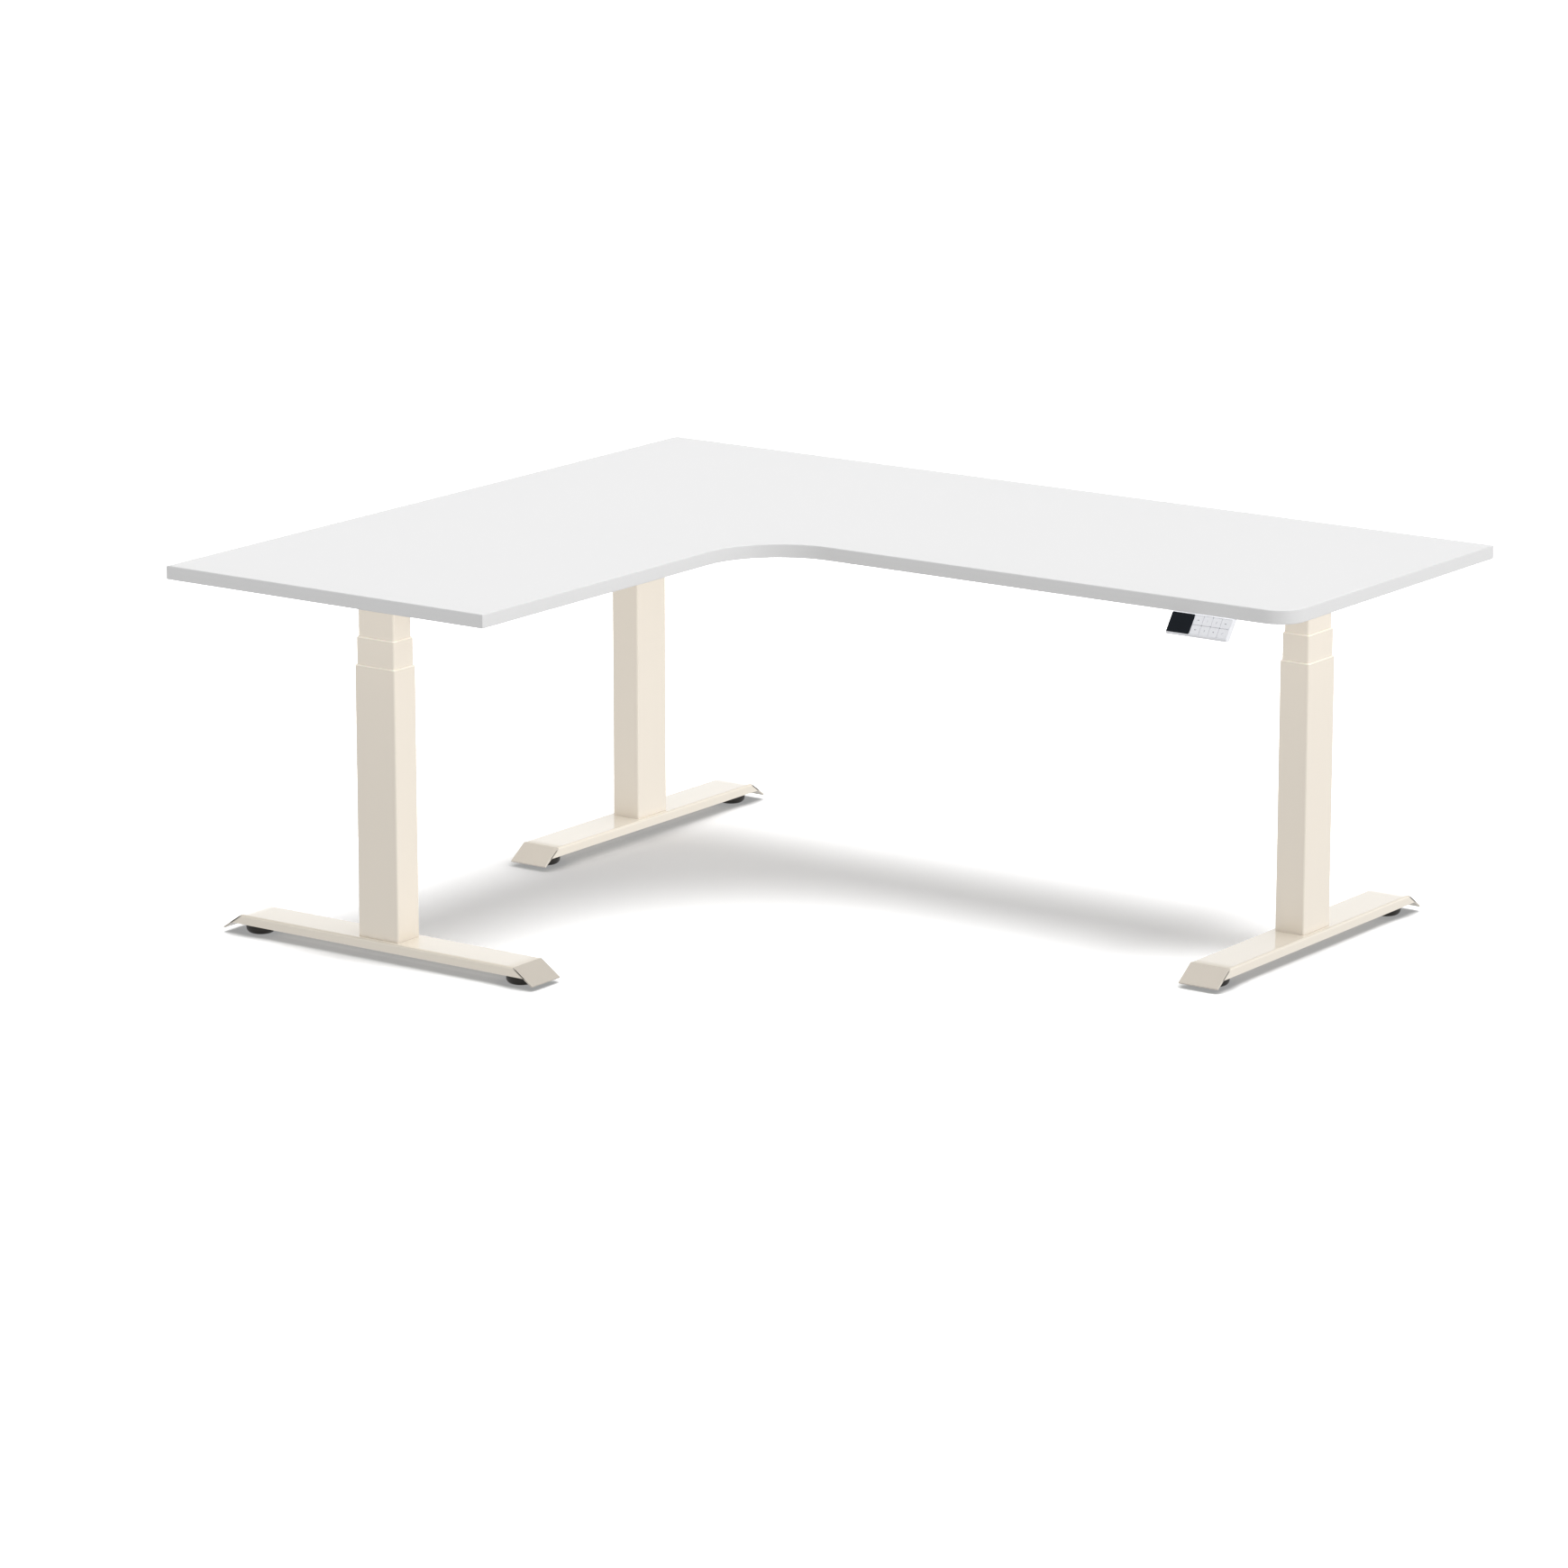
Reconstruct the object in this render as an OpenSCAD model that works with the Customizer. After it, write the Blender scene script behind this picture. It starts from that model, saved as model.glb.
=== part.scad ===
// Height adjustable corner desk: an L-shaped top of two boards on three telescopic
// legs. Each leg is a folded steel foot, three nested tubes and a two-stage screw
// drive with its motor inside the inner tube.
// Millimetres, +Z up. The origin lies on the floor, under the middle of the top's
// bounding rectangle. +X runs along the long wing and +Y points to the back.

/* [Desktop] */
// Length of the long wing, along X
top_length = 1800; // [1700:10:1900]
// Length of the side with the return wing, along Y
top_return = 1500; // [1450:10:1600]
// Depth of both wings
wing_depth = 700; // [700:10:740]
// Thickness of the boards
board_t = 25; // [22:1:30]
// Radius of the concave corner between the wings
inner_radius = 150; // [120:10:180]
// Radius of the long wing's free front corner
outer_radius = 50; // [20:5:80]
// Radius along the upper and lower edges of the boards
edge_radius = 2; // [1:0.5:3]
// Height of the top's upper face above the floor, as drawn
desk_height = 690; // [690:1:700]

/* [Legs] */
// Distance of a leg's axis from the end of its wing
leg_inset = 170; // [150:5:200]
// Outer section of the lower tube, along the foot
outer_l = 90; // [88:1:92]
// Outer section of the lower tube, across the foot
outer_w = 60; // [58:1:62]
// Amount by which each tube is smaller than the tube around it
stage_step = 5; // [4.5:0.5:5]
// Wall of the tubes
tube_wall = 1.5; // [1.2:0.1:1.5]
// Outer corner radius of the tubes
tube_radius = 4; // [3:0.5:5]
// Upper end of the lower tube with its glide
outer_top = 528; // [520:1:532]
// Upper end of the middle tube with its glide
middle_top = 578; // [574:1:580]
// Height of the glide rim that shows above a tube
glide_rim = 2.4; // [2:0.2:3]

/* [Feet] */
// Length of the flat top of a foot
foot_flat = 614; // [600:2:620]
// Width of a foot
foot_w = 80; // [78:1:84]
// Height of a foot's top above the floor
foot_h = 38; // [36:1:40]
// Sheet thickness of the feet
foot_sheet = 3; // [2.5:0.5:3]
// Distance that a slanted end runs out beyond the flat top
foot_slant_run = 41; // [38:1:44]
// Height of a slanted end's lower edge above the floor
foot_tip_z = 12.5; // [12:0.5:14]
// Height of the side flanges' lower edge above the floor
foot_flange_z = 20.6; // [19:0.2:22]
// Radius of a levelling foot
pad_r = 26.7; // [24:0.1:28]
// Height of a levelling foot without its stud
pad_h = 17; // [15:1:17]

/* [Frame] */
// Length of the arms that carry the boards
head_l = 560; // [520:10:580]
// Width of the arms and of the beams
frame_w = 60; // [60:1:64]
// Height of the arms and of the beams
frame_h = 30; // [28:1:32]
// Sheet thickness of the arms
head_sheet = 3; // [2.5:0.5:3]

/* [Handset] */
// Width of the handset
handset_w = 121.4; // [118:0.2:126]
// Length of the handset's sloping face
face_l = 38.7; // [38:0.1:40]
// Tilt of the face from the horizontal
face_tilt = 54.35; // [50:0.05:58]
// Width of the display at the left of the face
display_w = 46.6; // [44:0.2:47]
// Distance from key to key
key_pitch = 18; // [17.5:0.1:18]

/* [Hidden] */

$fn = 64;
over = 1; // how far a cutting solid runs past the face it opens

cream = "#efe8da";
white = "#f2f2f2";

// Desktop, derived
under_z = desk_height - board_t;
half_x = top_length / 2;
half_y = top_return / 2;
front_y = half_y - wing_depth;
inner_x = -half_x + wing_depth;
seam_y = front_y - inner_radius;

// Legs: number, place of the axis and turn of the leg about it. In a leg's own
// frame +X runs along the foot and +Y points to the beam.
CORNER = 0;
RIGHT = 1;
RETURN = 2;
leg_x = [-half_x + leg_inset, half_x - leg_inset, -half_x + wing_depth / 2];
leg_y = [half_y - wing_depth / 2, half_y - wing_depth / 2, -half_y + leg_inset];
leg_turn = [-90, 90, 0];
legs = [CORNER, RIGHT, RETURN];

middle_l = outer_l - stage_step;
middle_w = outer_w - stage_step;
inner_l = middle_l - stage_step;
inner_w = middle_w - stage_step;
slide_gap = 0.3;   // clearance between a glide and the tube that runs in it
skirt_l = 30;      // length of a glide inside its tube
middle_z = 98.5;   // lower end of the middle tube
inner_z = 156;     // lower end of the inner tube

// Screw drive, from the floor up
plate_t = 6;                     // base plate in the lower tube
plate_z = foot_h + plate_t;
running = 0.05;                  // radial clearance of screws and bearings
hollow_r = 9;
hollow_bore_r = 6.6;
drive_r = 6;
lower_tube_r = 12;
lower_tube_bore_r = 10;
lower_nut_z = 368;
lower_nut_spigot = 6;
lower_nut_top = 392;
nut_tube_r = 15;
nut_tube_bore_r = 12.6;
nut_head_r = 18;
nut_head_z = 424;
ledge_z = 430;                   // ring under the hollow screw's collar
ledge_t = 4;
upper_nut_z = 446;
upper_nut_top = 458;
plug_t = 14;                     // closes the middle tube's lower end
hollow_z = 80;
hollow_collar_r = 12.2;
drive_z = 146;
drive_collar_z = 516.3;
drive_collar_h = 4.4;
drive_collar_r = 10;
drive_top = 534;

// Motor in the inner tube
bearing_z = 500;
collar_room_z = 516;
gear_z = 521;
gear_top = 546;
can_top = 643;
can_r = 21;
cap_w = 18;

// Feet
foot_tip_x = foot_flat / 2 + foot_slant_run;
slope = (foot_h - foot_tip_z) / foot_slant_run;
slope_angle = atan(slope);
bend_r = 4;                      // outer radius of the folds
pad_x = foot_flat / 2 - 13.6;    // a leveller's place along the foot
stud_r = 4;
stud_top = foot_h - foot_sheet - 0.5;
insert_r = 7;
insert_z = 19;
foot_screws = [for (sx = [-1, 1], sy = [-1, 1]) [sx * 30, sy * 17]];
foot_screw_r = 4;

// Frame
head_root = 90;                  // half length of the arms' deep middle part
head_tip_h = 12;                 // depth of the arms at their ends
lead_r = 2.5;
lead_z = under_z - 9;
lead_x = 100;                    // where a motor lead leaves its arm
lead_bend = 12;                  // bend radius of a lead's centre line
bolt_x = 56;
bolt_r = 3;
bolt_z = under_z - 15;
end_plate_t = 4;
end_plate_l = 130;
beam_wall = 1.5;
head_screws = [-250, -150, 150, 250];

// Joining plates under the seam
join_x = [-820, -690, -410, -280];
join_l = 120;
join_w = 40;
join_t = 2.5;
join_screws = [-45, -20, 20, 45];

// Control box
box_x = 230;
box_y = half_y - 250;
box_l = 260;
box_w = 100;
box_h = 30;
box_wall = 2;
box_ear = 15;

// Wood screws
screw_r = 2;
screw_depth = 16;
screw_head_r = 4.2;
screw_head_h = 2.4;

// Handset: the face's frame has its origin at the upper left corner of the face,
// X to the right, Y up the slope and Z out of the face
handset_x = leg_x[RIGHT] - handset_w / 2;
handset_back = 62;               // depth of the case behind the board's edge
face_t = 2.5;
case_wall = 2;
glass_t = 1.6;
glass_proud = 0.3;
key_gap = 0.6;
key_w = key_pitch - key_gap;
key_t = 2.2;
keys_x = display_w + 0.2;
keys_y = -face_l / 2 + key_pitch;
key_stem = 3;
pcb_z = -7.6;
pcb_t = 1.6;
handset_screw_x = 42;

// ---------------------------------------------------------------- shared shapes

// Puts a leg's part into the desk's frame
module at_leg(i) {
    translate([leg_x[i], leg_y[i], 0]) rotate([0, 0, leg_turn[i]]) children();
}

// Carries a profile drawn in Y and Z along X, from x = 0
module along_x(length) {
    rotate([90, 0, 90]) linear_extrude(length) children();
}

// Carries a profile drawn in X and Z along Y, centred on y = 0
module across_y(width) {
    translate([0, width / 2, 0]) rotate([90, 0, 0]) linear_extrude(width) children();
}

// Rectangle with four round corners, centred
module rounded_rect(l, w, r) {
    square([l - 2 * r, w], center = true);
    square([l, w - 2 * r], center = true);
    for (sx = [-1, 1], sy = [-1, 1])
        translate([sx * (l / 2 - r), sy * (w / 2 - r)]) circle(r = r);
}

// Upright tube of rectangular section
module rect_tube(l, w, wall, z0, z1) {
    translate([0, 0, z0]) linear_extrude(z1 - z0) difference() {
        rounded_rect(l, w, tube_radius);
        rounded_rect(l - 2 * wall, w - 2 * wall, tube_radius - wall);
    }
}

// Upright ring or tube of round section
module round_tube(r, bore, z0, z1) {
    translate([0, 0, z0]) difference() {
        cylinder(r = r, h = z1 - z0);
        translate([0, 0, -over]) cylinder(r = bore, h = z1 - z0 + 2 * over);
    }
}

// Profile with two round upper corners, standing on y = 0
module arch(w, h, r) {
    translate([-w / 2, 0]) square([w, h - r]);
    translate([-w / 2 + r, 0]) square([w - 2 * r, h]);
    for (s = [-1, 1]) translate([s * (w / 2 - r), h - r]) circle(r = r);
}

// Profile of a channel folded from sheet, open downwards
module channel(w, h, sheet, r) {
    difference() {
        arch(w, h, r);
        translate([0, -over]) arch(w - 2 * sheet, h - sheet + over, r - sheet);
    }
}

// ---------------------------------------------------------------- feet and lower tubes

// Side outline of the foot above height z0, between its slanted ends
module foot_side(z0) {
    reach = foot_flat / 2 + (foot_h - z0) / slope;
    polygon([[-reach, z0], [reach, z0], [foot_flat / 2, foot_h], [-foot_flat / 2, foot_h]]);
}

// Slanted plate that closes the channel at +X
module foot_end() {
    inward = [-sin(slope_angle), -cos(slope_angle)] * foot_sheet;
    fold = [foot_flat / 2, foot_h];
    tip = [foot_tip_x, foot_tip_z];
    across_y(foot_w) polygon([fold, tip, tip + inward, fold + inward, [fold[0] - 3, foot_h]]);
}

module foot() {
    difference() {
        union() {
            intersection() {
                translate([-foot_tip_x, 0, foot_flange_z]) along_x(2 * foot_tip_x)
                    channel(foot_w, foot_h - foot_flange_z, foot_sheet, bend_r);
                across_y(foot_w + 2 * over) foot_side(foot_flange_z);
            }
            foot_end();
            rotate([0, 0, 180]) foot_end();
        }
        for (p = foot_screws) translate([p[0], p[1], foot_flange_z])
            cylinder(r = foot_screw_r + 0.25, h = foot_h);
    }
}

module corner_foot() { color(cream) at_leg(CORNER) foot(); }
module right_foot() { color(cream) at_leg(RIGHT) foot(); }
module return_foot() { color(cream) at_leg(RETURN) foot(); }

module outer_tube() {
    rect_tube(outer_l, outer_w, tube_wall, foot_h, outer_top - glide_rim);
}

module corner_outer_tube() { color(cream) at_leg(CORNER) outer_tube(); }
module right_outer_tube() { color(cream) at_leg(RIGHT) outer_tube(); }
module return_outer_tube() { color(cream) at_leg(RETURN) outer_tube(); }

// Plastic liner in the upper end of a tube of section l by w, with its rim on top.
// A tube one step smaller slides in it.
module glide(l, w, top) {
    bore_l = l - stage_step + 2 * slide_gap;
    bore_w = w - stage_step + 2 * slide_gap;
    difference() {
        union() {
            translate([0, 0, top - glide_rim]) linear_extrude(glide_rim)
                rounded_rect(l, w, tube_radius);
            translate([0, 0, top - glide_rim - skirt_l]) linear_extrude(skirt_l)
                rounded_rect(l - 2 * tube_wall, w - 2 * tube_wall, tube_radius - tube_wall);
        }
        translate([0, 0, top - glide_rim - skirt_l - over])
            linear_extrude(glide_rim + skirt_l + 2 * over)
                rounded_rect(bore_l, bore_w, tube_radius);
    }
}

module outer_glides() {
    color(white) for (i = legs) at_leg(i) glide(outer_l, outer_w, outer_top);
}

// Base plate of a leg, with the standing tube whose upper end is the lower nut
module lower_nut_tube() {
    difference() {
        union() {
            translate([0, 0, foot_h]) linear_extrude(plate_t)
                rounded_rect(outer_l - 2 * tube_wall, outer_w - 2 * tube_wall,
                             tube_radius - tube_wall);
            translate([0, 0, plate_z]) cylinder(r = lower_tube_r, h = lower_nut_top - plate_z);
        }
        translate([0, 0, plate_z]) cylinder(r = lower_tube_bore_r, h = lower_nut_z - plate_z);
        translate([0, 0, plate_z])
            cylinder(r = hollow_r + running, h = lower_nut_top - plate_z + over);
        for (p = foot_screws) translate([p[0], p[1], foot_h - over])
            cylinder(r = foot_screw_r, h = plate_t + 2 * over);
    }
}

module lower_nut_tubes() {
    color("silver") for (i = legs) at_leg(i) lower_nut_tube();
}

// Screws that hold a leg's base plate down on the foot, and the threaded inserts
// under the foot's top that take the levelling feet
module foot_fasteners() {
    head_h = 5;
    color("dimgray") for (i = legs) at_leg(i) {
        for (p = foot_screws) translate([p[0], p[1], 0]) {
            translate([0, 0, foot_h - foot_sheet - head_h]) cylinder(r = 6.5, h = head_h);
            translate([0, 0, foot_h - foot_sheet - over])
                cylinder(r = foot_screw_r, h = foot_sheet + plate_t + over);
        }
        for (s = [-1, 1]) translate([s * pad_x, 0, 0])
            round_tube(insert_r, stud_r + running, insert_z, foot_h - foot_sheet);
    }
}

// Levelling foot: a round pad with a bowl-shaped lower edge, on a threaded stud
module leveller(i, side) {
    bowl_r = 10;
    color("#2e2b25") at_leg(i) translate([side * pad_x, 0, 0]) {
        rotate_extrude() {
            square([pad_r - bowl_r, bowl_r]);
            intersection() {
                translate([pad_r - bowl_r, bowl_r]) circle(r = bowl_r);
                translate([pad_r - bowl_r, 0]) square([bowl_r, bowl_r]);
            }
            translate([0, bowl_r]) square([pad_r, pad_h - bowl_r]);
        }
        translate([0, 0, pad_h - over]) cylinder(r = stud_r, h = stud_top - pad_h + over);
    }
}

module corner_front_leveller() { leveller(CORNER, 1); }
module corner_back_leveller() { leveller(CORNER, -1); }
module right_front_leveller() { leveller(RIGHT, -1); }
module right_back_leveller() { leveller(RIGHT, 1); }
module return_left_leveller() { leveller(RETURN, -1); }
module return_right_leveller() { leveller(RETURN, 1); }

// ---------------------------------------------------------------- middle stages

module middle_tube() {
    rect_tube(middle_l, middle_w, tube_wall, middle_z, middle_top - glide_rim);
}

module corner_middle_tube() { color(cream) at_leg(CORNER) middle_tube(); }
module right_middle_tube() { color(cream) at_leg(RIGHT) middle_tube(); }
module return_middle_tube() { color(cream) at_leg(RETURN) middle_tube(); }

module corner_middle_glide() { color(white) at_leg(CORNER) glide(middle_l, middle_w, middle_top); }
module right_middle_glide() { color(white) at_leg(RIGHT) glide(middle_l, middle_w, middle_top); }
module return_middle_glide() { color(white) at_leg(RETURN) glide(middle_l, middle_w, middle_top); }

// Plug in the middle tube's lower end, with a tube standing on it. The head of the
// tube is the upper nut and carries the hollow screw's collar on a ledge.
module nut_tube() {
    difference() {
        union() {
            translate([0, 0, middle_z]) linear_extrude(plug_t)
                rounded_rect(middle_l - 2 * tube_wall, middle_w - 2 * tube_wall,
                             tube_radius - tube_wall);
            translate([0, 0, middle_z]) cylinder(r = nut_tube_r, h = nut_head_z - middle_z);
            translate([0, 0, nut_head_z]) cylinder(r = nut_head_r, h = upper_nut_top - nut_head_z);
        }
        translate([0, 0, middle_z - over])
            cylinder(r = nut_tube_bore_r, h = ledge_z - middle_z + over);
        translate([0, 0, ledge_z - over]) cylinder(r = hollow_r + slide_gap, h = ledge_t + 2 * over);
        translate([0, 0, ledge_z + ledge_t])
            cylinder(r = nut_tube_bore_r, h = upper_nut_z - ledge_z - ledge_t);
        translate([0, 0, upper_nut_z - over])
            cylinder(r = drive_r + running, h = upper_nut_top - upper_nut_z + 2 * over);
    }
}

module corner_nut_tube() { color("gainsboro") at_leg(CORNER) nut_tube(); }
module right_nut_tube() { color("gainsboro") at_leg(RIGHT) nut_tube(); }
module return_nut_tube() { color("gainsboro") at_leg(RETURN) nut_tube(); }

// Outer screw of the drive. It turns in the middle stage and climbs in the lower nut.
module hollow_screw() {
    difference() {
        union() {
            translate([0, 0, hollow_z]) cylinder(r = hollow_r, h = upper_nut_z - slide_gap - hollow_z);
            translate([0, 0, ledge_z + ledge_t + slide_gap])
                cylinder(r = hollow_collar_r,
                         h = upper_nut_z - ledge_z - ledge_t - 2 * slide_gap);
        }
        translate([0, 0, hollow_z - over])
            cylinder(r = hollow_bore_r, h = upper_nut_z - hollow_z + over);
    }
}

module corner_hollow_screw() { color("darkgray") at_leg(CORNER) hollow_screw(); }
module right_hollow_screw() { color("darkgray") at_leg(RIGHT) hollow_screw(); }
module return_hollow_screw() { color("darkgray") at_leg(RETURN) hollow_screw(); }

// Inner screw of the drive. The motor turns it, and the upper nut climbs on it.
module drive_screw() {
    translate([0, 0, drive_z]) cylinder(r = drive_r, h = drive_top - drive_z);
    translate([0, 0, drive_collar_z]) cylinder(r = drive_collar_r, h = drive_collar_h);
}

module corner_drive_screw() { color("darkgray") at_leg(CORNER) drive_screw(); }
module right_drive_screw() { color("darkgray") at_leg(RIGHT) drive_screw(); }
module return_drive_screw() { color("darkgray") at_leg(RETURN) drive_screw(); }

// ---------------------------------------------------------------- inner tubes and motors

// Side of the leg, along X, on which its motor lead leaves
function lead_side(i) = i == CORNER ? -1 : 1;

module inner_tube(i) {
    color(cream) at_leg(i) difference() {
        rect_tube(inner_l, inner_w, tube_wall, inner_z, under_z - head_sheet);
        translate([lead_side(i) * inner_l / 2, 0, lead_z])
            rotate([0, 90, 0]) cylinder(r = lead_r + 1, h = 10, center = true);
    }
}

module corner_inner_tube() { inner_tube(CORNER); }
module right_inner_tube() { inner_tube(RIGHT); }
module return_inner_tube() { inner_tube(RETURN); }

// Tubular gear motor: bearing block, gear case that fills the tube, can and
// terminal cap. The drive screw's collar runs in the block.
module motor() {
    difference() {
        union() {
            translate([0, 0, bearing_z]) linear_extrude(gear_z + 10 - bearing_z)
                rounded_rect(inner_l - 2 * tube_wall, inner_w - 2 * tube_wall,
                             tube_radius - tube_wall);
            translate([0, 0, gear_z]) cylinder(r = can_r + 1.5, h = gear_top - gear_z);
            translate([0, 0, gear_top]) cylinder(r = can_r, h = can_top - gear_top);
            translate([-cap_w / 2, -cap_w / 2, can_top])
                cube([cap_w, cap_w, lead_z + lead_r + 2 - can_top]);
        }
        translate([0, 0, bearing_z - over])
            cylinder(r = drive_r + running, h = collar_room_z - bearing_z + 2 * over);
        translate([0, 0, collar_room_z])
            cylinder(r = drive_collar_r + slide_gap, h = gear_z - collar_room_z);
        translate([0, 0, gear_z - over])
            cylinder(r = drive_r + running, h = drive_top - gear_z + over + slide_gap);
    }
}

module motors() {
    color("slategray") for (i = legs) at_leg(i) motor();
}

// ---------------------------------------------------------------- frame under the top

// Side outline of an arm, deep in the middle and shallow at its ends
module head_side() {
    half = head_l / 2;
    low = under_z - frame_h;
    tip = under_z - head_tip_h;
    polygon([[-half, tip], [-head_root, low], [head_root, low], [half, tip],
             [half, under_z + over], [-half, under_z + over]]);
}

// Arm on top of a leg: a folded channel with screw holes in its web, bolt holes in
// the flange on the beam's side and a hole for the motor lead
module head(i) {
    color(cream) at_leg(i) difference() {
        intersection() {
            translate([-head_l / 2, 0, under_z - frame_h]) along_x(head_l)
                channel(frame_w, frame_h, head_sheet, bend_r);
            across_y(frame_w + 2 * over) head_side();
        }
        for (x = head_screws) translate([x, 0, under_z - 2 * head_sheet])
            cylinder(r = screw_r + 0.3, h = 3 * head_sheet);
        for (s = [-1, 1]) translate([s * bolt_x, frame_w / 2, bolt_z])
            rotate([90, 0, 0]) cylinder(r = bolt_r + 0.25, h = 10, center = true);
        translate([lead_side(i) * lead_x, frame_w / 2, lead_z])
            rotate([90, 0, 0]) cylinder(r = lead_r + 0.5, h = 10, center = true);
    }
}

module corner_head() { head(CORNER); }
module right_head() { head(RIGHT); }
module return_head() { head(RETURN); }

// Beam of square tube along X from x = 0, with an end plate at each end
module beam(length) {
    difference() {
        union() {
            translate([0, 0, under_z - frame_h]) along_x(length)
                translate([0, frame_h / 2]) rounded_rect(frame_w, frame_h, 3);
            for (x = [0, length - end_plate_t])
                translate([x, -end_plate_l / 2, under_z - frame_h + 1])
                    cube([end_plate_t, end_plate_l, frame_h - 2]);
        }
        translate([-over, 0, under_z - frame_h]) along_x(length + 2 * over)
            translate([0, frame_h / 2])
                rounded_rect(frame_w - 2 * beam_wall, frame_h - 2 * beam_wall, 3 - beam_wall);
        for (x = [0, length], s = [-1, 1]) translate([x, s * bolt_x, bolt_z])
            rotate([0, 90, 0]) cylinder(r = bolt_r + 0.25, h = 4 * end_plate_t, center = true);
    }
}

main_beam_x0 = leg_x[CORNER] + frame_w / 2;
main_beam_x1 = leg_x[RIGHT] - frame_w / 2;
main_beam_y = leg_y[CORNER];
return_beam_y0 = leg_y[RETURN] + frame_w / 2;
return_beam_y1 = main_beam_y - frame_w / 2;
return_lead_x = leg_x[RETURN] + lead_x;
handset_lead_x = handset_x + 11;

module main_beam() {
    color(cream) difference() {
        translate([main_beam_x0, main_beam_y, 0]) beam(main_beam_x1 - main_beam_x0);
        // ways through for the leads of the return leg and the handset
        for (x = [return_lead_x, handset_lead_x]) translate([x, main_beam_y, lead_z])
            rotate([90, 0, 0]) cylinder(r = lead_r + 1, h = frame_w + 2 * over, center = true);
        // bolt holes for the return beam
        for (s = [-1, 1]) translate([leg_x[RETURN] + s * bolt_x, return_beam_y1, bolt_z])
            rotate([90, 0, 0]) cylinder(r = bolt_r + 0.25, h = 10, center = true);
    }
}

module return_beam() {
    color(cream) translate([leg_x[RETURN], return_beam_y0, 0]) rotate([0, 0, 90])
        beam(return_beam_y1 - return_beam_y0);
}

// ---------------------------------------------------------------- desktop

// Cutter for the upper edge along +X. The board lies at +Y and below z = 0.
module edge_cut(length) {
    along_x(length) difference() {
        translate([-over, -edge_radius]) square([edge_radius + over, edge_radius + over]);
        translate([edge_radius, -edge_radius]) circle(r = edge_radius);
    }
}

// Cutter for the upper edge of a quarter arc. The board lies inside radius r, or
// outside it where inside = -1.
module arc_cut(r, inside) {
    rotate_extrude(angle = 90) difference() {
        translate([inside == 1 ? r - edge_radius : r - over, -edge_radius])
            square([edge_radius + over, edge_radius + over]);
        translate([r - inside * edge_radius, -edge_radius]) circle(r = edge_radius);
    }
}

// Cuts at the upper face and, mirrored, at the lower face
module both_faces() {
    translate([0, 0, desk_height]) children();
    translate([0, 0, under_z]) mirror([0, 0, 1]) children();
}

// Wood screws as [x, y, height of the seat of the head]
leg_screw_points = [for (i = legs, s = head_screws)
    [leg_x[i] + s * cos(leg_turn[i]), leg_y[i] + s * sin(leg_turn[i]), under_z - head_sheet]];
join_screw_points = [for (x = join_x, s = join_screws) [x, seam_y + s, under_z - join_t]];
box_screw_points = [for (sx = [-1, 1], sy = [-1, 1])
    [box_x + sx * (box_l / 2 + box_ear / 2), box_y + sy * (box_w / 2 - 12), under_z - box_wall]];
handset_screw_points = [for (s = [-1, 1])
    [leg_x[RIGHT] + s * handset_screw_x, front_y + handset_back - 10, under_z - case_wall]];
screw_points = concat(leg_screw_points, join_screw_points, box_screw_points, handset_screw_points);

module pilot_holes() {
    for (p = screw_points) translate([p[0], p[1], under_z - over])
        cylinder(r = screw_r, h = screw_depth + over, $fn = 24);
}

module main_outline() {
    difference() {
        union() {
            translate([-half_x, front_y]) square([top_length, wing_depth]);
            translate([-half_x, seam_y]) square([wing_depth + inner_radius, inner_radius + 1]);
        }
        translate([inner_x + inner_radius, seam_y]) circle(r = inner_radius, $fn = 128);
        translate([half_x - outer_radius, front_y - over]) square([outer_radius + over, outer_radius + over]);
    }
    translate([half_x - outer_radius, front_y + outer_radius]) circle(r = outer_radius, $fn = 128);
}

module main_board() {
    color(white) difference() {
        translate([0, 0, under_z]) linear_extrude(board_t) main_outline();
        both_faces() {
            // front edge, between the two arcs
            translate([inner_x + inner_radius, front_y, 0])
                edge_cut(half_x - outer_radius - inner_x - inner_radius);
            // free corner and right end
            translate([half_x - outer_radius, front_y + outer_radius, 0]) rotate([0, 0, -90])
                arc_cut(outer_radius, 1);
            translate([half_x, front_y + outer_radius, 0]) rotate([0, 0, 90])
                edge_cut(wing_depth - outer_radius + over);
            // back edge and left side
            translate([half_x + over, half_y, 0]) rotate([0, 0, 180]) edge_cut(top_length + 2 * over);
            translate([-half_x, half_y + over, 0]) rotate([0, 0, -90])
                edge_cut(wing_depth + inner_radius + 2 * over);
            // concave corner
            translate([inner_x + inner_radius, seam_y, 0]) rotate([0, 0, 90])
                arc_cut(inner_radius, -1);
        }
        pilot_holes();
    }
}

module return_board() {
    length = seam_y + half_y;
    color(white) difference() {
        translate([-half_x, -half_y, under_z]) cube([wing_depth, length, board_t]);
        both_faces() {
            translate([-half_x - over, -half_y, 0]) edge_cut(wing_depth + 2 * over);
            translate([inner_x, -half_y - over, 0]) rotate([0, 0, 90]) edge_cut(length + 2 * over);
            translate([-half_x, seam_y + over, 0]) rotate([0, 0, -90]) edge_cut(length + 2 * over);
        }
        pilot_holes();
    }
}

module joining_plates() {
    color("silver") for (x = join_x) translate([x, seam_y, under_z - join_t]) difference() {
        linear_extrude(join_t) rounded_rect(join_w, join_l, 6);
        for (s = join_screws) translate([0, s, -over])
            cylinder(r = screw_r + 0.3, h = join_t + 2 * over, $fn = 24);
    }
}

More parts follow.
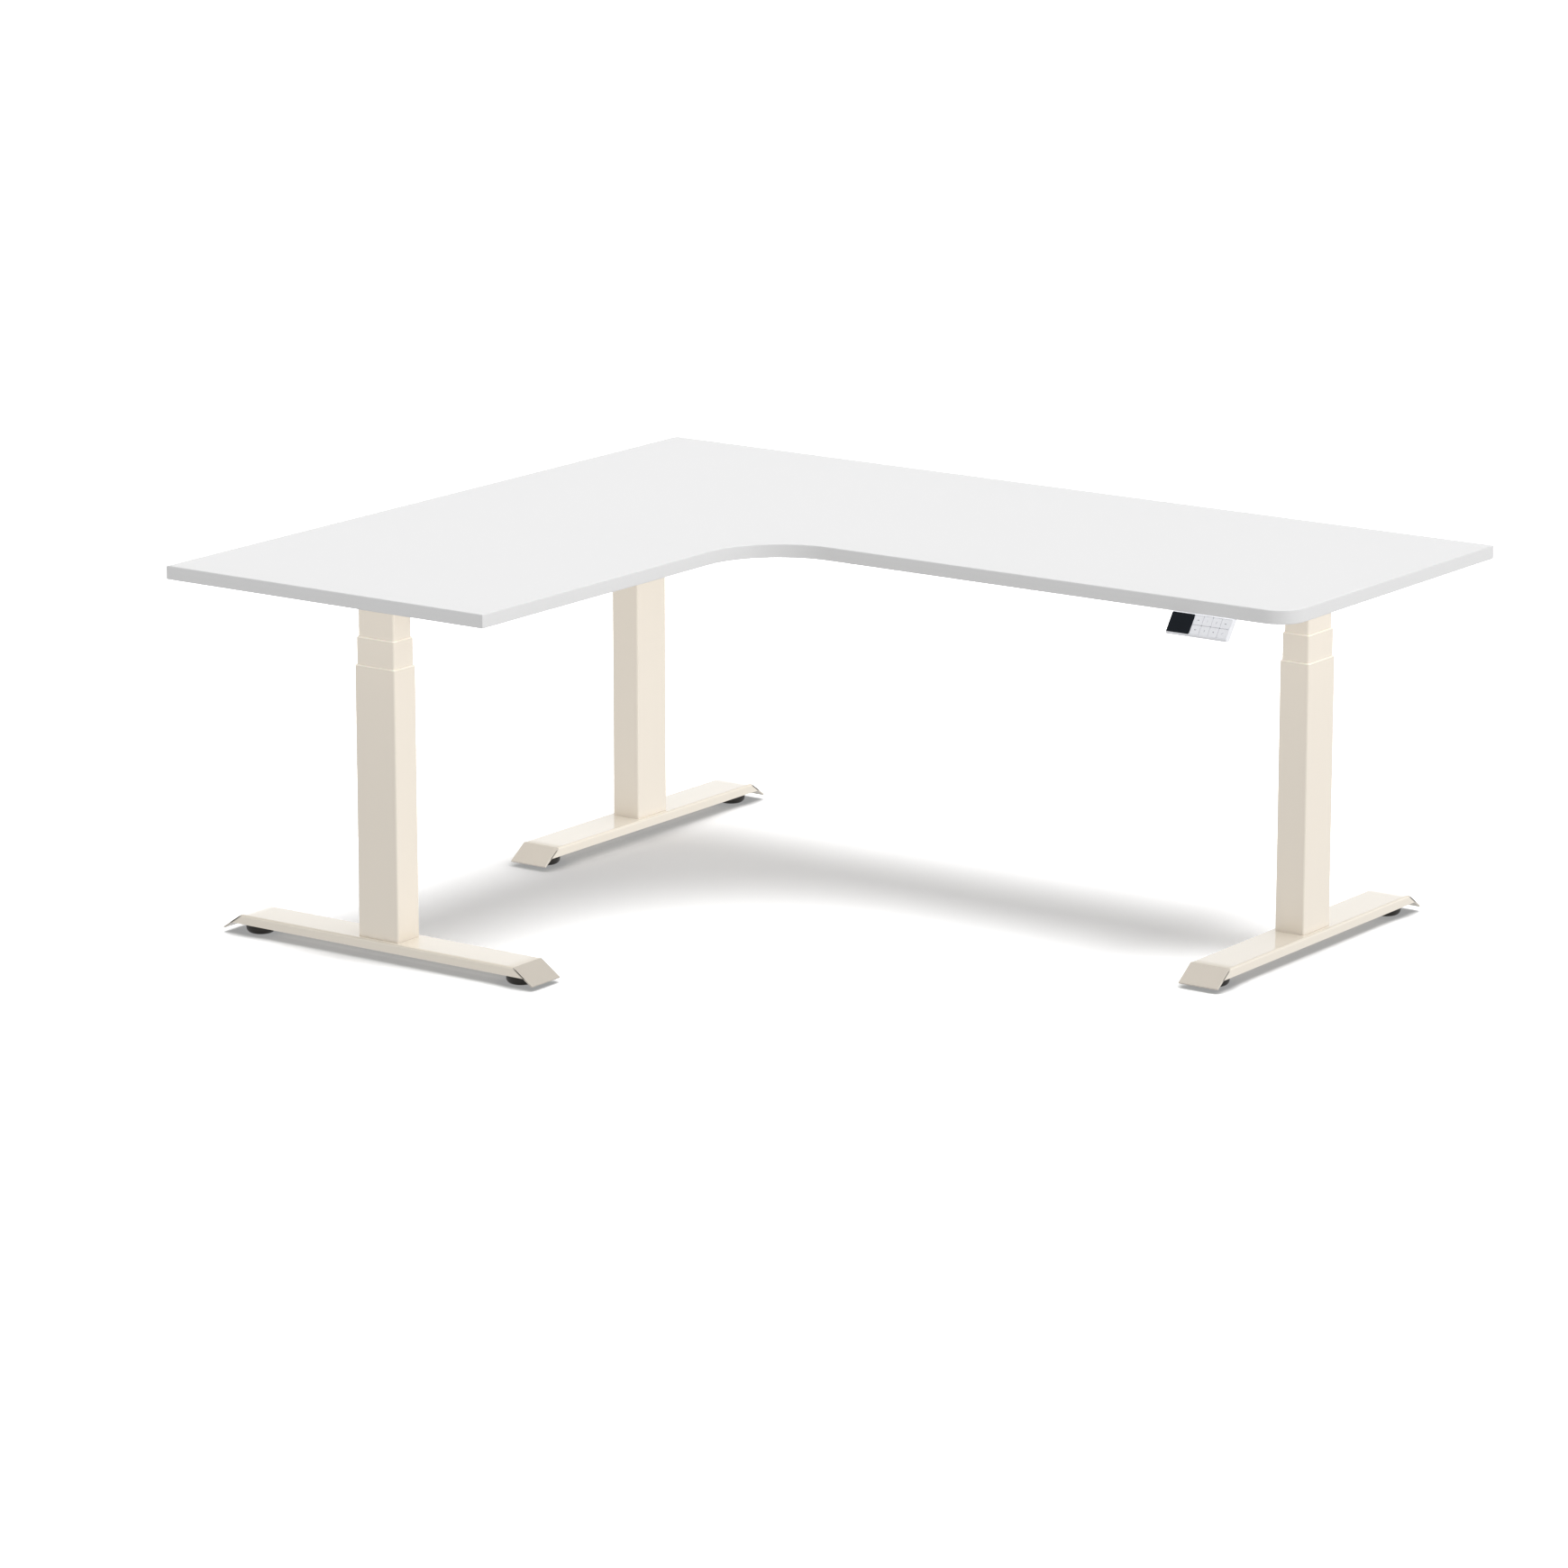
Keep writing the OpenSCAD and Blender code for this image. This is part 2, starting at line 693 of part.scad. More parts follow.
// Wood screw, head down, with the seat of its head at z = 0
module wood_screw(grip) {
    translate([0, 0, -screw_head_h]) cylinder(r = screw_head_r, h = screw_head_h, $fn = 24);
    cylinder(r = screw_r, h = grip + screw_depth, $fn = 24);
}

// Bolt along +Y, with the seat of its head at y = 0 and an optional nut at y = nut
module frame_bolt(length, nut) {
    rotate([90, 0, 0]) cylinder(r = 5, h = 4, $fn = 24);
    rotate([-90, 0, 0]) cylinder(r = bolt_r, h = length, $fn = 24);
    if (nut > 0) translate([0, nut, 0]) rotate([-90, 0, 0]) cylinder(r = 5.5, h = 5, $fn = 6);
}

module frame_fasteners() {
    web = frame_w / 2 - head_sheet;
    color("dimgray") {
        for (p = screw_points) translate(p) wood_screw(under_z - p[2]);
        for (i = legs, s = [-1, 1]) at_leg(i) translate([s * bolt_x, web, bolt_z])
            frame_bolt(14, head_sheet + end_plate_t);
        for (s = [-1, 1])
            translate([leg_x[RETURN] + s * bolt_x, return_beam_y1 - end_plate_t, bolt_z])
                frame_bolt(14, 0);
    }
}

// ---------------------------------------------------------------- control box and leads

module control_box_plate() {
    color("#3a3c3f") translate([box_x, box_y, under_z - box_wall]) difference() {
        linear_extrude(box_wall) rounded_rect(box_l + 2 * box_ear, box_w, 5);
        for (sx = [-1, 1], sy = [-1, 1])
            translate([sx * (box_l / 2 + box_ear / 2), sy * (box_w / 2 - 12), -over])
                cylinder(r = screw_r + 0.3, h = box_wall + 2 * over, $fn = 24);
    }
}

inlet_l = 28;
inlet_h = 18;
inlet_depth = 16;
inlet_x = box_x - 80;
inlet_z = under_z - 17;

module control_box_cover() {
    color("#3a3c3f") translate([box_x, box_y, under_z - box_wall - box_h]) difference() {
        linear_extrude(box_h) rounded_rect(box_l, box_w, 5);
        translate([0, 0, box_wall]) linear_extrude(box_h)
            rounded_rect(box_l - 2 * box_wall, box_w - 2 * box_wall, 5 - box_wall);
        // leads: two at the left end, two at the right end
        for (y = [0, -25]) translate([0, y, lead_z - under_z + box_wall + box_h])
            rotate([0, 90, 0]) cylinder(r = lead_r, h = box_l + 2 * over, center = true);
        translate([inlet_x - box_x - inlet_l / 2, box_w / 2 - 3 * box_wall,
                   inlet_z - under_z + box_wall + box_h - inlet_h / 2])
            cube([inlet_l, 4 * box_wall, inlet_h]);
    }
}

// Appliance inlet in the back wall, with two contact pins
module mains_inlet() {
    back = box_y + box_w / 2;
    color("#202122") {
        translate([inlet_x, back, inlet_z]) difference() {
            translate([-inlet_l / 2, -inlet_depth, -inlet_h / 2])
                cube([inlet_l, inlet_depth, inlet_h]);
            translate([-inlet_l / 2 + 2, 2 - inlet_depth, -inlet_h / 2 + 2])
                cube([inlet_l - 4, inlet_depth, inlet_h - 4]);
        }
        for (s = [-1, 1]) translate([inlet_x + s * 5, back - inlet_depth + 2, inlet_z])
            rotate([-90, 0, 0]) cylinder(r = 1.2, h = 6, $fn = 24);
    }
}

// Straight stretch of a lead from a to b, along one axis
module lead_run(a, b) {
    d = b - a;
    translate(a) rotate(d[0] != 0 ? [0, d[0] > 0 ? 90 : -90, 0] : [d[1] > 0 ? -90 : 90, 0, 0])
        cylinder(r = lead_r, h = norm(d), $fn = 24);
}

// Quarter bend of a lead around the point c, from angle a to a + 90
module lead_elbow(c, a) {
    translate(c) rotate([0, 0, a]) rotate_extrude(angle = 90)
        translate([lead_bend, 0]) circle(r = lead_r, $fn = 24);
}

// First stretch of a motor lead, from the terminal cap out through the arm's flange
module motor_lead_start(i) {
    s = lead_side(i);
    at_leg(i) {
        lead_run([s * cap_w / 2, 0, lead_z], [s * (lead_x - lead_bend), 0, lead_z]);
        lead_elbow([s * (lead_x - lead_bend), lead_bend, lead_z], s > 0 ? -90 : 180);
    }
}

corner_lead_y = leg_y[CORNER] + lead_x;
second_lead_y = corner_lead_y - 25;
box_left = box_x - box_l / 2 + box_wall;
box_right = box_x + box_l / 2 - box_wall;

module control_leads() {
    color("#26272a") {
        // corner leg and right leg, straight along the main beam
        union() {
            motor_lead_start(CORNER);
            lead_run([leg_x[CORNER] + lead_bend, corner_lead_y, lead_z],
                     [box_left, corner_lead_y, lead_z]);
        }
        union() {
            motor_lead_start(RIGHT);
            lead_run([leg_x[RIGHT] - lead_bend, corner_lead_y, lead_z],
                     [box_right, corner_lead_y, lead_z]);
        }
        // return leg, along its beam and through the main beam
        union() {
            motor_lead_start(RETURN);
            lead_run([return_lead_x, leg_y[RETURN] + lead_bend, lead_z],
                     [return_lead_x, second_lead_y - lead_bend, lead_z]);
            lead_elbow([return_lead_x + lead_bend, second_lead_y - lead_bend, lead_z], 90);
            lead_run([return_lead_x + lead_bend, second_lead_y, lead_z],
                     [box_left, second_lead_y, lead_z]);
        }
        // handset
        union() {
            lead_run([handset_lead_x, front_y + handset_back - case_wall, lead_z],
                     [handset_lead_x, second_lead_y - lead_bend, lead_z]);
            lead_elbow([handset_lead_x - lead_bend, second_lead_y - lead_bend, lead_z], 0);
            lead_run([handset_lead_x - lead_bend, second_lead_y, lead_z],
                     [box_right, second_lead_y, lead_z]);
        }
    }
}

// Clips as [x, y, turn], each around one lead
clips = [
    [-580, corner_lead_y, 0], [-250, corner_lead_y, 0], [0, corner_lead_y, 0],
    [560, corner_lead_y, 0], [460, second_lead_y, 0], [-150, second_lead_y, 0],
    [return_lead_x, -400, 90], [return_lead_x, -230, 90], [return_lead_x, 60, 90],
    [return_lead_x, 300, 90], [handset_lead_x, 190, 90], [handset_lead_x, 310, 90]
];

module lead_clips() {
    clip_l = 10;
    clip_w = 9;
    color("#26272a") for (c = clips) translate([c[0], c[1], lead_z]) rotate([0, 0, c[2]])
        difference() {
            translate([-clip_l / 2, 0, 0]) along_x(clip_l) {
                circle(r = clip_w / 2, $fn = 32);
                translate([-clip_w / 2, 0]) square([clip_w, under_z - lead_z]);
            }
            rotate([0, 90, 0]) cylinder(r = lead_r, h = clip_l + 2 * over, center = true, $fn = 24);
        }
}

// ---------------------------------------------------------------- handset

// Puts a part of the face into the desk's frame
module on_face() {
    translate([handset_x, front_y, under_z]) rotate([face_tilt, 0, 0]) children();
}

// Side outline of the case behind the board's edge, in Y and Z from the face's
// upper edge
function face_foot() = [-face_l * cos(face_tilt), -face_l * sin(face_tilt)];

module case_side() {
    f = face_foot();
    polygon([[0, 0], f, f + [1, -4], f + [5, -5.5], [10, f[1] - 5.5],
             [handset_back - 12, -20], [handset_back, -17], [handset_back, 0]]);
}

// Hollow of the case, open to the board
module case_hollow() {
    f = face_foot();
    back = [sin(face_tilt), -cos(face_tilt)] * face_t;
    up = [cos(face_tilt), sin(face_tilt)];
    polygon([back + 4 * up, f + back, f + [4.5, -3.5], [9.5, f[1] - 3.5],
             [handset_back - 22, -21.6], [handset_back - 22, over]]);
}

module handset_case() {
    color(white) difference() {
        intersection() {
            translate([handset_x, front_y, under_z]) along_x(handset_w) case_side();
            on_face() translate([handset_w / 2, 0, -100]) linear_extrude(101)
                translate([0, 30]) rounded_rect(handset_w, 2 * (face_l + 36), 3);
        }
        translate([handset_x + case_wall, front_y, under_z])
            along_x(handset_w - 2 * case_wall) case_hollow();
        on_face() {
            // seat of the glass and the window behind it
            translate([0.4 + (display_w - 0.6) / 2, -face_l / 2, -glass_t])
                linear_extrude(glass_t + over) rounded_rect(display_w - 0.6, face_l - 1, 2.5);
            translate([6, -face_l + 7, -face_t - over])
                cube([display_w - 12, face_l - 14, face_t + 2 * over]);
            // opening for the keys
            translate([keys_x, keys_y - 2 * key_pitch, -face_t - over])
                cube([4 * key_pitch, 2 * key_pitch, face_t + 2 * over]);
        }
        for (s = [-1, 1])
            translate([leg_x[RIGHT] + s * handset_screw_x, front_y + handset_back - 10,
                       under_z - 30]) {
                cylinder(r = screw_head_r + 0.5, h = 30 - case_wall, $fn = 24);
                cylinder(r = screw_r + 0.3, h = 31, $fn = 24);
            }
        translate([handset_lead_x, front_y + handset_back, lead_z]) rotate([90, 0, 0])
            cylinder(r = lead_r, h = 60, center = true, $fn = 24);
    }
}

module display_window() {
    color("#181e25") on_face()
        translate([0.4 + (display_w - 0.6) / 2, -face_l / 2, -glass_t])
            linear_extrude(glass_t + glass_proud)
                rounded_rect(display_w - 0.6, face_l - 1, 2.5);
}

// Key caps in two rows of four, numbered from the upper left, with a stem below
module key(column, row) {
    color(white) on_face()
        translate([keys_x + (column + 0.5) * key_pitch, keys_y - (row + 0.5) * key_pitch, 0]) {
            translate([0, 0, -key_t]) linear_extrude(key_t) rounded_rect(key_w, key_w, 1.2);
            translate([0, 0, -key_t - key_stem]) cylinder(r = 2.5, h = key_stem + over, $fn = 32);
        }
}

module key_1() { key(0, 0); }
module key_2() { key(1, 0); }
module key_3() { key(2, 0); }
module key_4() { key(3, 0); }
module key_5() { key(0, 1); }
module key_6() { key(1, 1); }
module key_7() { key(2, 1); }
module key_8() { key(3, 1); }

// Boards of the handset, behind the keys, and of the control box
module circuit_boards() {
    color("darkgreen") {
        on_face() translate([4, -35, pcb_z]) cube([handset_w - 8, 32, pcb_t]);
        translate([box_x - box_l / 2 + 8, box_y - box_w / 2 + 6, under_z - box_wall - box_h + 6])
            cube([box_l - 16, box_w - 2 * 6 - inlet_depth, 1.6]);
    }
}

// ---------------------------------------------------------------- nodes

corner_foot();
right_foot();
return_foot();
corner_outer_tube();
right_outer_tube();
return_outer_tube();
outer_glides();
lower_nut_tubes();
foot_fasteners();
corner_middle_tube();
right_middle_tube();
return_middle_tube();
corner_middle_glide();
right_middle_glide();
return_middle_glide();
corner_nut_tube();
right_nut_tube();
return_nut_tube();
corner_hollow_screw();
right_hollow_screw();
return_hollow_screw();
corner_drive_screw();
right_drive_screw();
return_drive_screw();
corner_front_leveller();
corner_back_leveller();
right_front_leveller();
right_back_leveller();
return_left_leveller();
return_right_leveller();
corner_inner_tube();
right_inner_tube();
return_inner_tube();
motors();
corner_head();
right_head();
return_head();
main_beam();
return_beam();
main_board();
return_board();
joining_plates();
frame_fasteners();
control_box_plate();
control_box_cover();
circuit_boards();
mains_inlet();
control_leads();
lead_clips();
handset_case();
display_window();
key_1();
key_2();
key_3();
key_4();
key_5();
key_6();
key_7();
key_8();
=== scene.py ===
"""Looks of a height adjustable corner desk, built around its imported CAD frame.

Sizes are millimetres in the classes and in the shape functions, and make_object turns
them into metres. +X runs along the long wing, +Y points to the back and z = 0 is the
floor. Each leg has a frame of its own, with +X along its foot and +Y to the beam.
"""

from __future__ import annotations

import logging
import math
from dataclasses import dataclass, field, replace
from enum import Enum
from functools import lru_cache, partial
from typing import Sequence

import bpy
import numpy as np
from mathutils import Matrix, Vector

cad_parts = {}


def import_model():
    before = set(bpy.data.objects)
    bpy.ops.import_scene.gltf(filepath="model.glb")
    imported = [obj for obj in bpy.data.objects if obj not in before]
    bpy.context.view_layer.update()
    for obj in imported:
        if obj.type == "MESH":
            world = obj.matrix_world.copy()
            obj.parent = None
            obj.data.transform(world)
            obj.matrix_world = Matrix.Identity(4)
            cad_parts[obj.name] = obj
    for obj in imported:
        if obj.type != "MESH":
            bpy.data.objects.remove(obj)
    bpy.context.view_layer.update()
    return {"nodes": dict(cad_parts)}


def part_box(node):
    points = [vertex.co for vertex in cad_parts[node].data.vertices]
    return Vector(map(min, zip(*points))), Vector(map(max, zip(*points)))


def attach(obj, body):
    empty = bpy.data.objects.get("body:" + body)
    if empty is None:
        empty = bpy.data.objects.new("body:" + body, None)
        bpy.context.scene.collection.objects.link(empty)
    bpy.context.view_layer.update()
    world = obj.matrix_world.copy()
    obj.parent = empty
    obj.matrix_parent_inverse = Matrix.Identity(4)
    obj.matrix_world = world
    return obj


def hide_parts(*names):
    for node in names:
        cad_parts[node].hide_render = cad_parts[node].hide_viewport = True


LOG = logging.getLogger("corner_desk")
MM = 0.001
QUARTER = np.linspace(0.0, math.pi / 2, 6)
# sine of the bend below which two edges count as one straight line
STRAIGHT = 1e-4
Array = np.ndarray


# ------------------------------------------------------------------ shape functions


@dataclass
class Shell:
    """Surface of a piece, as points, arrays of faces and a finish number per array."""

    points: Array
    faces: list[Array]
    finish: list[int] = field(default_factory=list)

    def __post_init__(self) -> None:
        """Gives every face the first finish where none is named."""
        self.finish = self.finish or [0] * len(self.faces)

    def placed(self, origin: Sequence[float] = (0, 0, 0), axes: Array | None = None) -> Shell:
        """Turns the shell by axes, whose columns are the new X, Y and Z, and moves it.

        Args:
            origin: Place of the shell's own origin.
            axes: Rotation matrix, or None to leave the shell unturned.

        Returns:
            The turned and moved shell.
        """
        turned = self.points if axes is None else self.points @ axes.T
        return Shell(turned + np.asarray(origin, float), self.faces, self.finish)

    def painted(self, number: int) -> Shell:
        """Returns the shell with one finish number on every face."""
        return Shell(self.points, self.faces, [number] * len(self.faces))


def joined(shells: Sequence[Shell]) -> Shell:
    """Puts several shells into one, by shifting each one's corner numbers.

    Args:
        shells: The shells, in order.

    Returns:
        One shell with all their points and faces.
    """
    starts = np.cumsum([0] + [len(s.points) for s in shells])
    points = np.vstack([s.points for s in shells])
    faces = [f + start for s, start in zip(shells, starts) for f in s.faces]
    return Shell(points, faces, [n for s in shells for n in s.finish])


def full_turn(steps: int) -> Array:
    """Angles of evenly spaced points round a circle."""
    return np.linspace(0, 2 * math.pi, steps, endpoint=False)


def on_circle(turn: Array) -> Array:
    """Points (cos a, sin a) for an array of angles, n by 2."""
    return np.column_stack([np.cos(turn), np.sin(turn)])


def polar_rings(radius: Array, height: Array, turn: Array) -> Array:
    """Rings of points (r cos a, r sin a, z) round the Z axis.

    Args:
        radius: Radius of every point, rings by points, or of every ring, rings by 1.
        height: Height of every ring, rings by 1.
        turn: Angle of every point of a ring.

    Returns:
        Array of rings by points by 3.
    """
    x, y = radius * np.cos(turn), radius * np.sin(turn)
    return np.stack([x, y, np.broadcast_to(height, x.shape)], axis=-1)


def grid_quads(rows: int, cols: int, wrap_rows: bool = False, wrap_cols: bool = True) -> Array:
    """Numbers the corners of the quads between neighbouring rows and columns.

    Args:
        rows: Number of rows, each stored after the one before.
        cols: Number of points in a row.
        wrap_rows: Whether the last row joins the first.
        wrap_cols: Whether the last point of a row joins its first.

    Returns:
        Corner numbers, four to a row.
    """
    i, j = np.meshgrid(
        np.arange(rows - (not wrap_rows)), np.arange(cols - (not wrap_cols)), indexing="ij"
    )
    up, on = (i + 1) % rows, (j + 1) % cols
    quads = [i * cols + j, i * cols + on, up * cols + on, up * cols + j]
    return np.stack(quads, axis=-1).reshape(-1, 4)


def loft(rings: Array, hollow: bool = False) -> Shell:
    """Skins a stack of rings: point (i, j) joins (i, j + 1), (i + 1, j) and (i + 1, j + 1).

    Args:
        rings: Array of n rings by k points by 3, each ring anticlockwise as seen from the
            side that the stack grows to.
        hollow: True joins the last ring to the first, as a wall that closes on itself;
            False closes both ends with a flat face.

    Returns:
        A closed shell.
    """
    n, k = rings.shape[:2]
    faces = [grid_quads(n, k, wrap_rows=hollow)]
    if not hollow:
        ends = np.arange(k)
        faces += [ends[None, ::-1], (n - 1) * k + ends[None, :]]
    return Shell(rings.reshape(-1, 3), faces)


def rounded_rings(length: float, width: float, stack: Array, steps: int = 6) -> Array:
    """Rings of a rectangle with round corners: each corner point is the corner's centre
    plus radius times (cos, sin) of its angle, and a ring lies inset from the outline.

    Args:
        length: Outer size along X.
        width: Outer size along Y.
        stack: Rows of inset, corner radius and height, one per ring.
        steps: Number of steps in a quarter turn.

    Returns:
        Array of rings by points by 3.
    """
    inset, radius, height = np.asarray(stack, float).T
    radius = np.maximum(radius, 0.01)
    turn = np.linspace(0, math.pi / 2, steps + 1)[None, :] + np.arange(4)[:, None] * math.pi / 2
    sign_x = np.array([1, -1, -1, 1])[:, None]
    sign_y = np.array([1, 1, -1, -1])[:, None]
    reach_x = (length / 2 - inset - radius)[:, None, None] * sign_x
    reach_y = (width / 2 - inset - radius)[:, None, None] * sign_y
    x = reach_x + radius[:, None, None] * np.cos(turn)
    y = reach_y + radius[:, None, None] * np.sin(turn)
    z = np.broadcast_to(height[:, None, None], x.shape)
    return np.stack([x, y, z], axis=-1).reshape(len(inset), -1, 3)


def revolved(profile: Sequence[Sequence[float]], steps: int = 32, hollow: bool = False) -> Shell:
    """Turns a profile of radius and height about Z: (r cos a, r sin a, z).

    Args:
        profile: Rows of radius and height, from the lower end up the outside.
        steps: Number of points round the axis.
        hollow: True where the profile closes on itself, as on a ring.

    Returns:
        A closed shell.
    """
    radius, height = np.asarray(profile, float).T[:, :, None]
    return loft(polar_rings(radius, height, full_turn(steps)), hollow)


def swept(path: Array, radius: Array | float, steps: int = 14) -> Shell:
    """Carries a circle along a level path: the centre plus radius times (cos, sin) on the
    path's level normal and on Z.

    Args:
        path: Points of the centre line, n by 3, all level.
        radius: Radius at each point, or one for all.
        steps: Number of points round the circle.

    Returns:
        A closed tube.
    """
    tangent = np.gradient(path, axis=0)
    tangent /= np.linalg.norm(tangent, axis=1)[:, None]
    up = np.array([0.0, 0.0, 1.0])
    side = np.cross(up, tangent)
    turn = full_turn(steps)[None, :, None]
    radii = np.broadcast_to(radius, (len(path),))[:, None, None]
    around = -side[:, None, :] * np.cos(turn) + up * np.sin(turn)
    return loft((path[:, None, :] + radii * around)[:, ::-1])


def round_path(corners: Sequence[Sequence[float]], height: float, radius: float) -> Array:
    """Joins level points with straight lines and replaces each right-angled corner by an
    arc: corner + r (b - a) + r (a sin t - b cos t), where a runs into the corner and b out.

    Args:
        corners: Points as x and y.
        height: Height of the path.
        radius: Radius of the arcs.

    Returns:
        Points of the path, n by 3.
    """
    points = np.asarray(corners, float)
    turn = QUARTER[:, None]
    pieces = [points[:1]]
    for before, at, after in zip(points, points[1:], points[2:]):
        into = (at - before) / np.linalg.norm(at - before)
        out = (after - at) / np.linalg.norm(after - at)
        arc = into * np.sin(turn) - out * np.cos(turn)
        pieces.append(at + radius * (out - into) + radius * arc)
    level = np.vstack(pieces + [points[-1:]])
    return np.column_stack([level, np.full(len(level), height)])


def edge_offsets(outline: Array, share: Array) -> Array:
    """Works out how far each corner of an outline moves inwards when every edge moves by
    its share: the point where both moved edges cross.

    Args:
        outline: Anticlockwise corners, n by 2.
        share: Share for the edge that starts at each corner.

    Returns:
        Shift of each corner for an inset of 1.
    """
    ahead = np.roll(outline, -1, axis=0) - outline
    ahead /= np.linalg.norm(ahead, axis=1)[:, None]
    inward = np.column_stack([-ahead[:, 1], ahead[:, 0]])
    before, before_share = np.roll(inward, 1, axis=0), np.roll(share, 1)
    cross = before[:, 0] * inward[:, 1] - before[:, 1] * inward[:, 0]
    straight = np.abs(cross) < STRAIGHT
    safe = np.where(straight, 1.0, cross)
    x = (before_share * inward[:, 1] - share * before[:, 1]) / safe
    y = (share * before[:, 0] - before_share * inward[:, 0]) / safe
    crossing = np.column_stack([x, y])
    return np.where(straight[:, None], inward * share[:, None], crossing)


def inset_rings(outline: Array, stack: Array, share: Array | None = None) -> Array:
    """Rings of any outline, each moved inwards by its inset and put at its height.

    Args:
        outline: Anticlockwise corners, n by 2.
        stack: Rows of inset and height.
        share: Share of the inset for each edge, or None for the whole of it.

    Returns:
        Array of rings by points by 3.
    """
    stack = np.asarray(stack, float)
    shift = edge_offsets(outline, np.ones(len(outline)) if share is None else share)
    level = outline[None] + stack[:, 0, None, None] * shift[None]
    height = np.broadcast_to(stack[:, 1, None, None], level.shape[:2] + (1,))
    return np.concatenate([level, height], axis=-1)


def soft_stack(low: float, high: float, edge: float, steps: int = 3) -> Array:
    """Insets and heights of a slab with quarter-round edges: edge (1 - cos t) inwards and
    edge (1 - sin t) from either face.

    Args:
        low: Height of the lower face.
        high: Height of the upper face.
        edge: Radius of the edges.
        steps: Number of steps in a quarter turn.

    Returns:
        Rows of inset and height from the lower face to the upper one.
    """
    turn = np.linspace(0, math.pi / 2, steps + 1)
    inset, drop = edge * (1 - np.cos(turn)), edge * (1 - np.sin(turn))
    upper = np.column_stack([inset, high - drop])
    lower = np.column_stack([inset[::-1], low + drop[::-1]])
    return np.vstack([lower, upper])


def slab(
    length: float, width: float, low: float, high: float, radius: float, edge: float
) -> Shell:
    """Upright slab with round corners and quarter-round edges, centred on the origin.

    Args:
        length: Size along X.
        width: Size along Y.
        low: Height of the lower face.
        high: Height of the upper face.
        radius: Radius of the corners.
        edge: Radius of the edges.

    Returns:
        A closed shell.
    """
    inset, height = soft_stack(low, high, edge).T
    return loft(rounded_rings(length, width, np.column_stack([inset, radius - inset, height])))


def fillets(corners: Sequence[Sequence[float]], radius: Sequence[float], steps: int = 4) -> Array:
    """Rounds the corners of a polygon: each becomes an arc about the point on its
    bisector that lies one radius from both edges.

    Args:
        corners: Anticlockwise corners.
        radius: Radius of each corner.
        steps: Number of steps in an arc.

    Returns:
        Corners of the rounded polygon, (steps + 1) for each one given.
    """
    points = np.asarray(corners, float)
    radius = np.asarray(radius, float)
    back = np.roll(points, 1, axis=0) - points
    ahead = np.roll(points, -1, axis=0) - points
    back /= np.linalg.norm(back, axis=1)[:, None]
    ahead /= np.linalg.norm(ahead, axis=1)[:, None]
    half = np.arccos(np.clip((back * ahead).sum(1), -1, 1)) / 2
    middle = back + ahead
    middle /= np.linalg.norm(middle, axis=1)[:, None]
    bend = np.sign(ahead[:, 0] * back[:, 1] - ahead[:, 1] * back[:, 0])
    centre = points + middle * (radius / np.sin(half))[:, None]
    start = np.arctan2(-middle[:, 1], -middle[:, 0])
    sweep = (math.pi / 2 - half) * bend
    turn = start[:, None] + sweep[:, None] * np.linspace(-1, 1, steps + 1)[None, :]
    arc = radius[:, None, None] * np.stack([np.cos(turn), np.sin(turn)], axis=-1)
    return (centre[:, None, :] + arc).reshape(-1, 2)


def turn_z(degrees: float) -> Array:
    """Rotation matrix of a turn about Z."""
    c, s = math.cos(math.radians(degrees)), math.sin(math.radians(degrees))
    return np.array([[c, -s, 0], [s, c, 0], [0, 0, 1]])


def turn_x(degrees: float) -> Array:
    """Rotation matrix of a turn about X."""
    c, s = math.cos(math.radians(degrees)), math.sin(math.radians(degrees))
    return np.array([[1, 0, 0], [0, c, -s], [0, s, c]])


# X, Y and Z of a shape drawn standing, laid so that it stands along +X
ALONG_X = np.array([[0, 0, 1], [1, 0, 0], [0, 1, 0]], float)


# ------------------------------------------------------------------ finishes


def linear(colour: str, gain: float = 1.0) -> tuple[float, float, float, float]:
    """Turns an sRGB hex colour into linear values.

    Args:
        colour: Colour as #rrggbb.
        gain: Factor on the linear values.

    Returns:
        Red, green, blue and an alpha of 1.
    """
    parts = [int(colour[i : i + 2], 16) / 255 for i in (1, 3, 5)]
    values = [p / 12.92 if p <= 0.04045 else ((p + 0.055) / 1.055) ** 2.4 for p in parts]
    return (*(min(1.0, v * gain) for v in values), 1.0)


def add_node(
    tree: bpy.types.NodeTree,
    kind: str,
    values: dict[str | int, object] | None = None,
    links: dict[str | int, bpy.types.NodeSocket] | None = None,
    **settings: object,
) -> bpy.types.Node:
    """Adds one node with its settings, fixed inputs and links.

    Args:
        tree: Node tree that takes the node.
        kind: Class name of the node, without ShaderNode.
        values: Fixed value for each named input.
        links: Socket that feeds each named input.
        settings: Other attributes of the node.

    Returns:
        The new node.
    """
    node = tree.nodes.new("ShaderNode" + kind)
    for name, value in settings.items():
        setattr(node, name, value)
    for name, value in (values or {}).items():
        node.inputs[name].default_value = value
    for name, socket in (links or {}).items():
        tree.links.new(socket, node.inputs[name])
    return node


# period of a wave node with a scale of 1; width of a drawing line over its length
WAVE_PERIOD = 0.314
DRAWN_STRETCH = 0.02
# brightness of the copper under a circuit board's lacquer, times the lacquer's own
COPPER_GAIN = 1.9


class Grain(Enum):
    """Relief that a surface carries."""

    ORANGE_PEEL = "sprayed and baked paint"
    PEARL = "pressed laminate"
    SPARK = "spark-eroded mould"
    TURNED = "lathe lines round Z"
    DRAWN = "drawing lines along Z"
    MOTTLED = "plated or cast"
    TRACES = "copper traces under a lacquer"


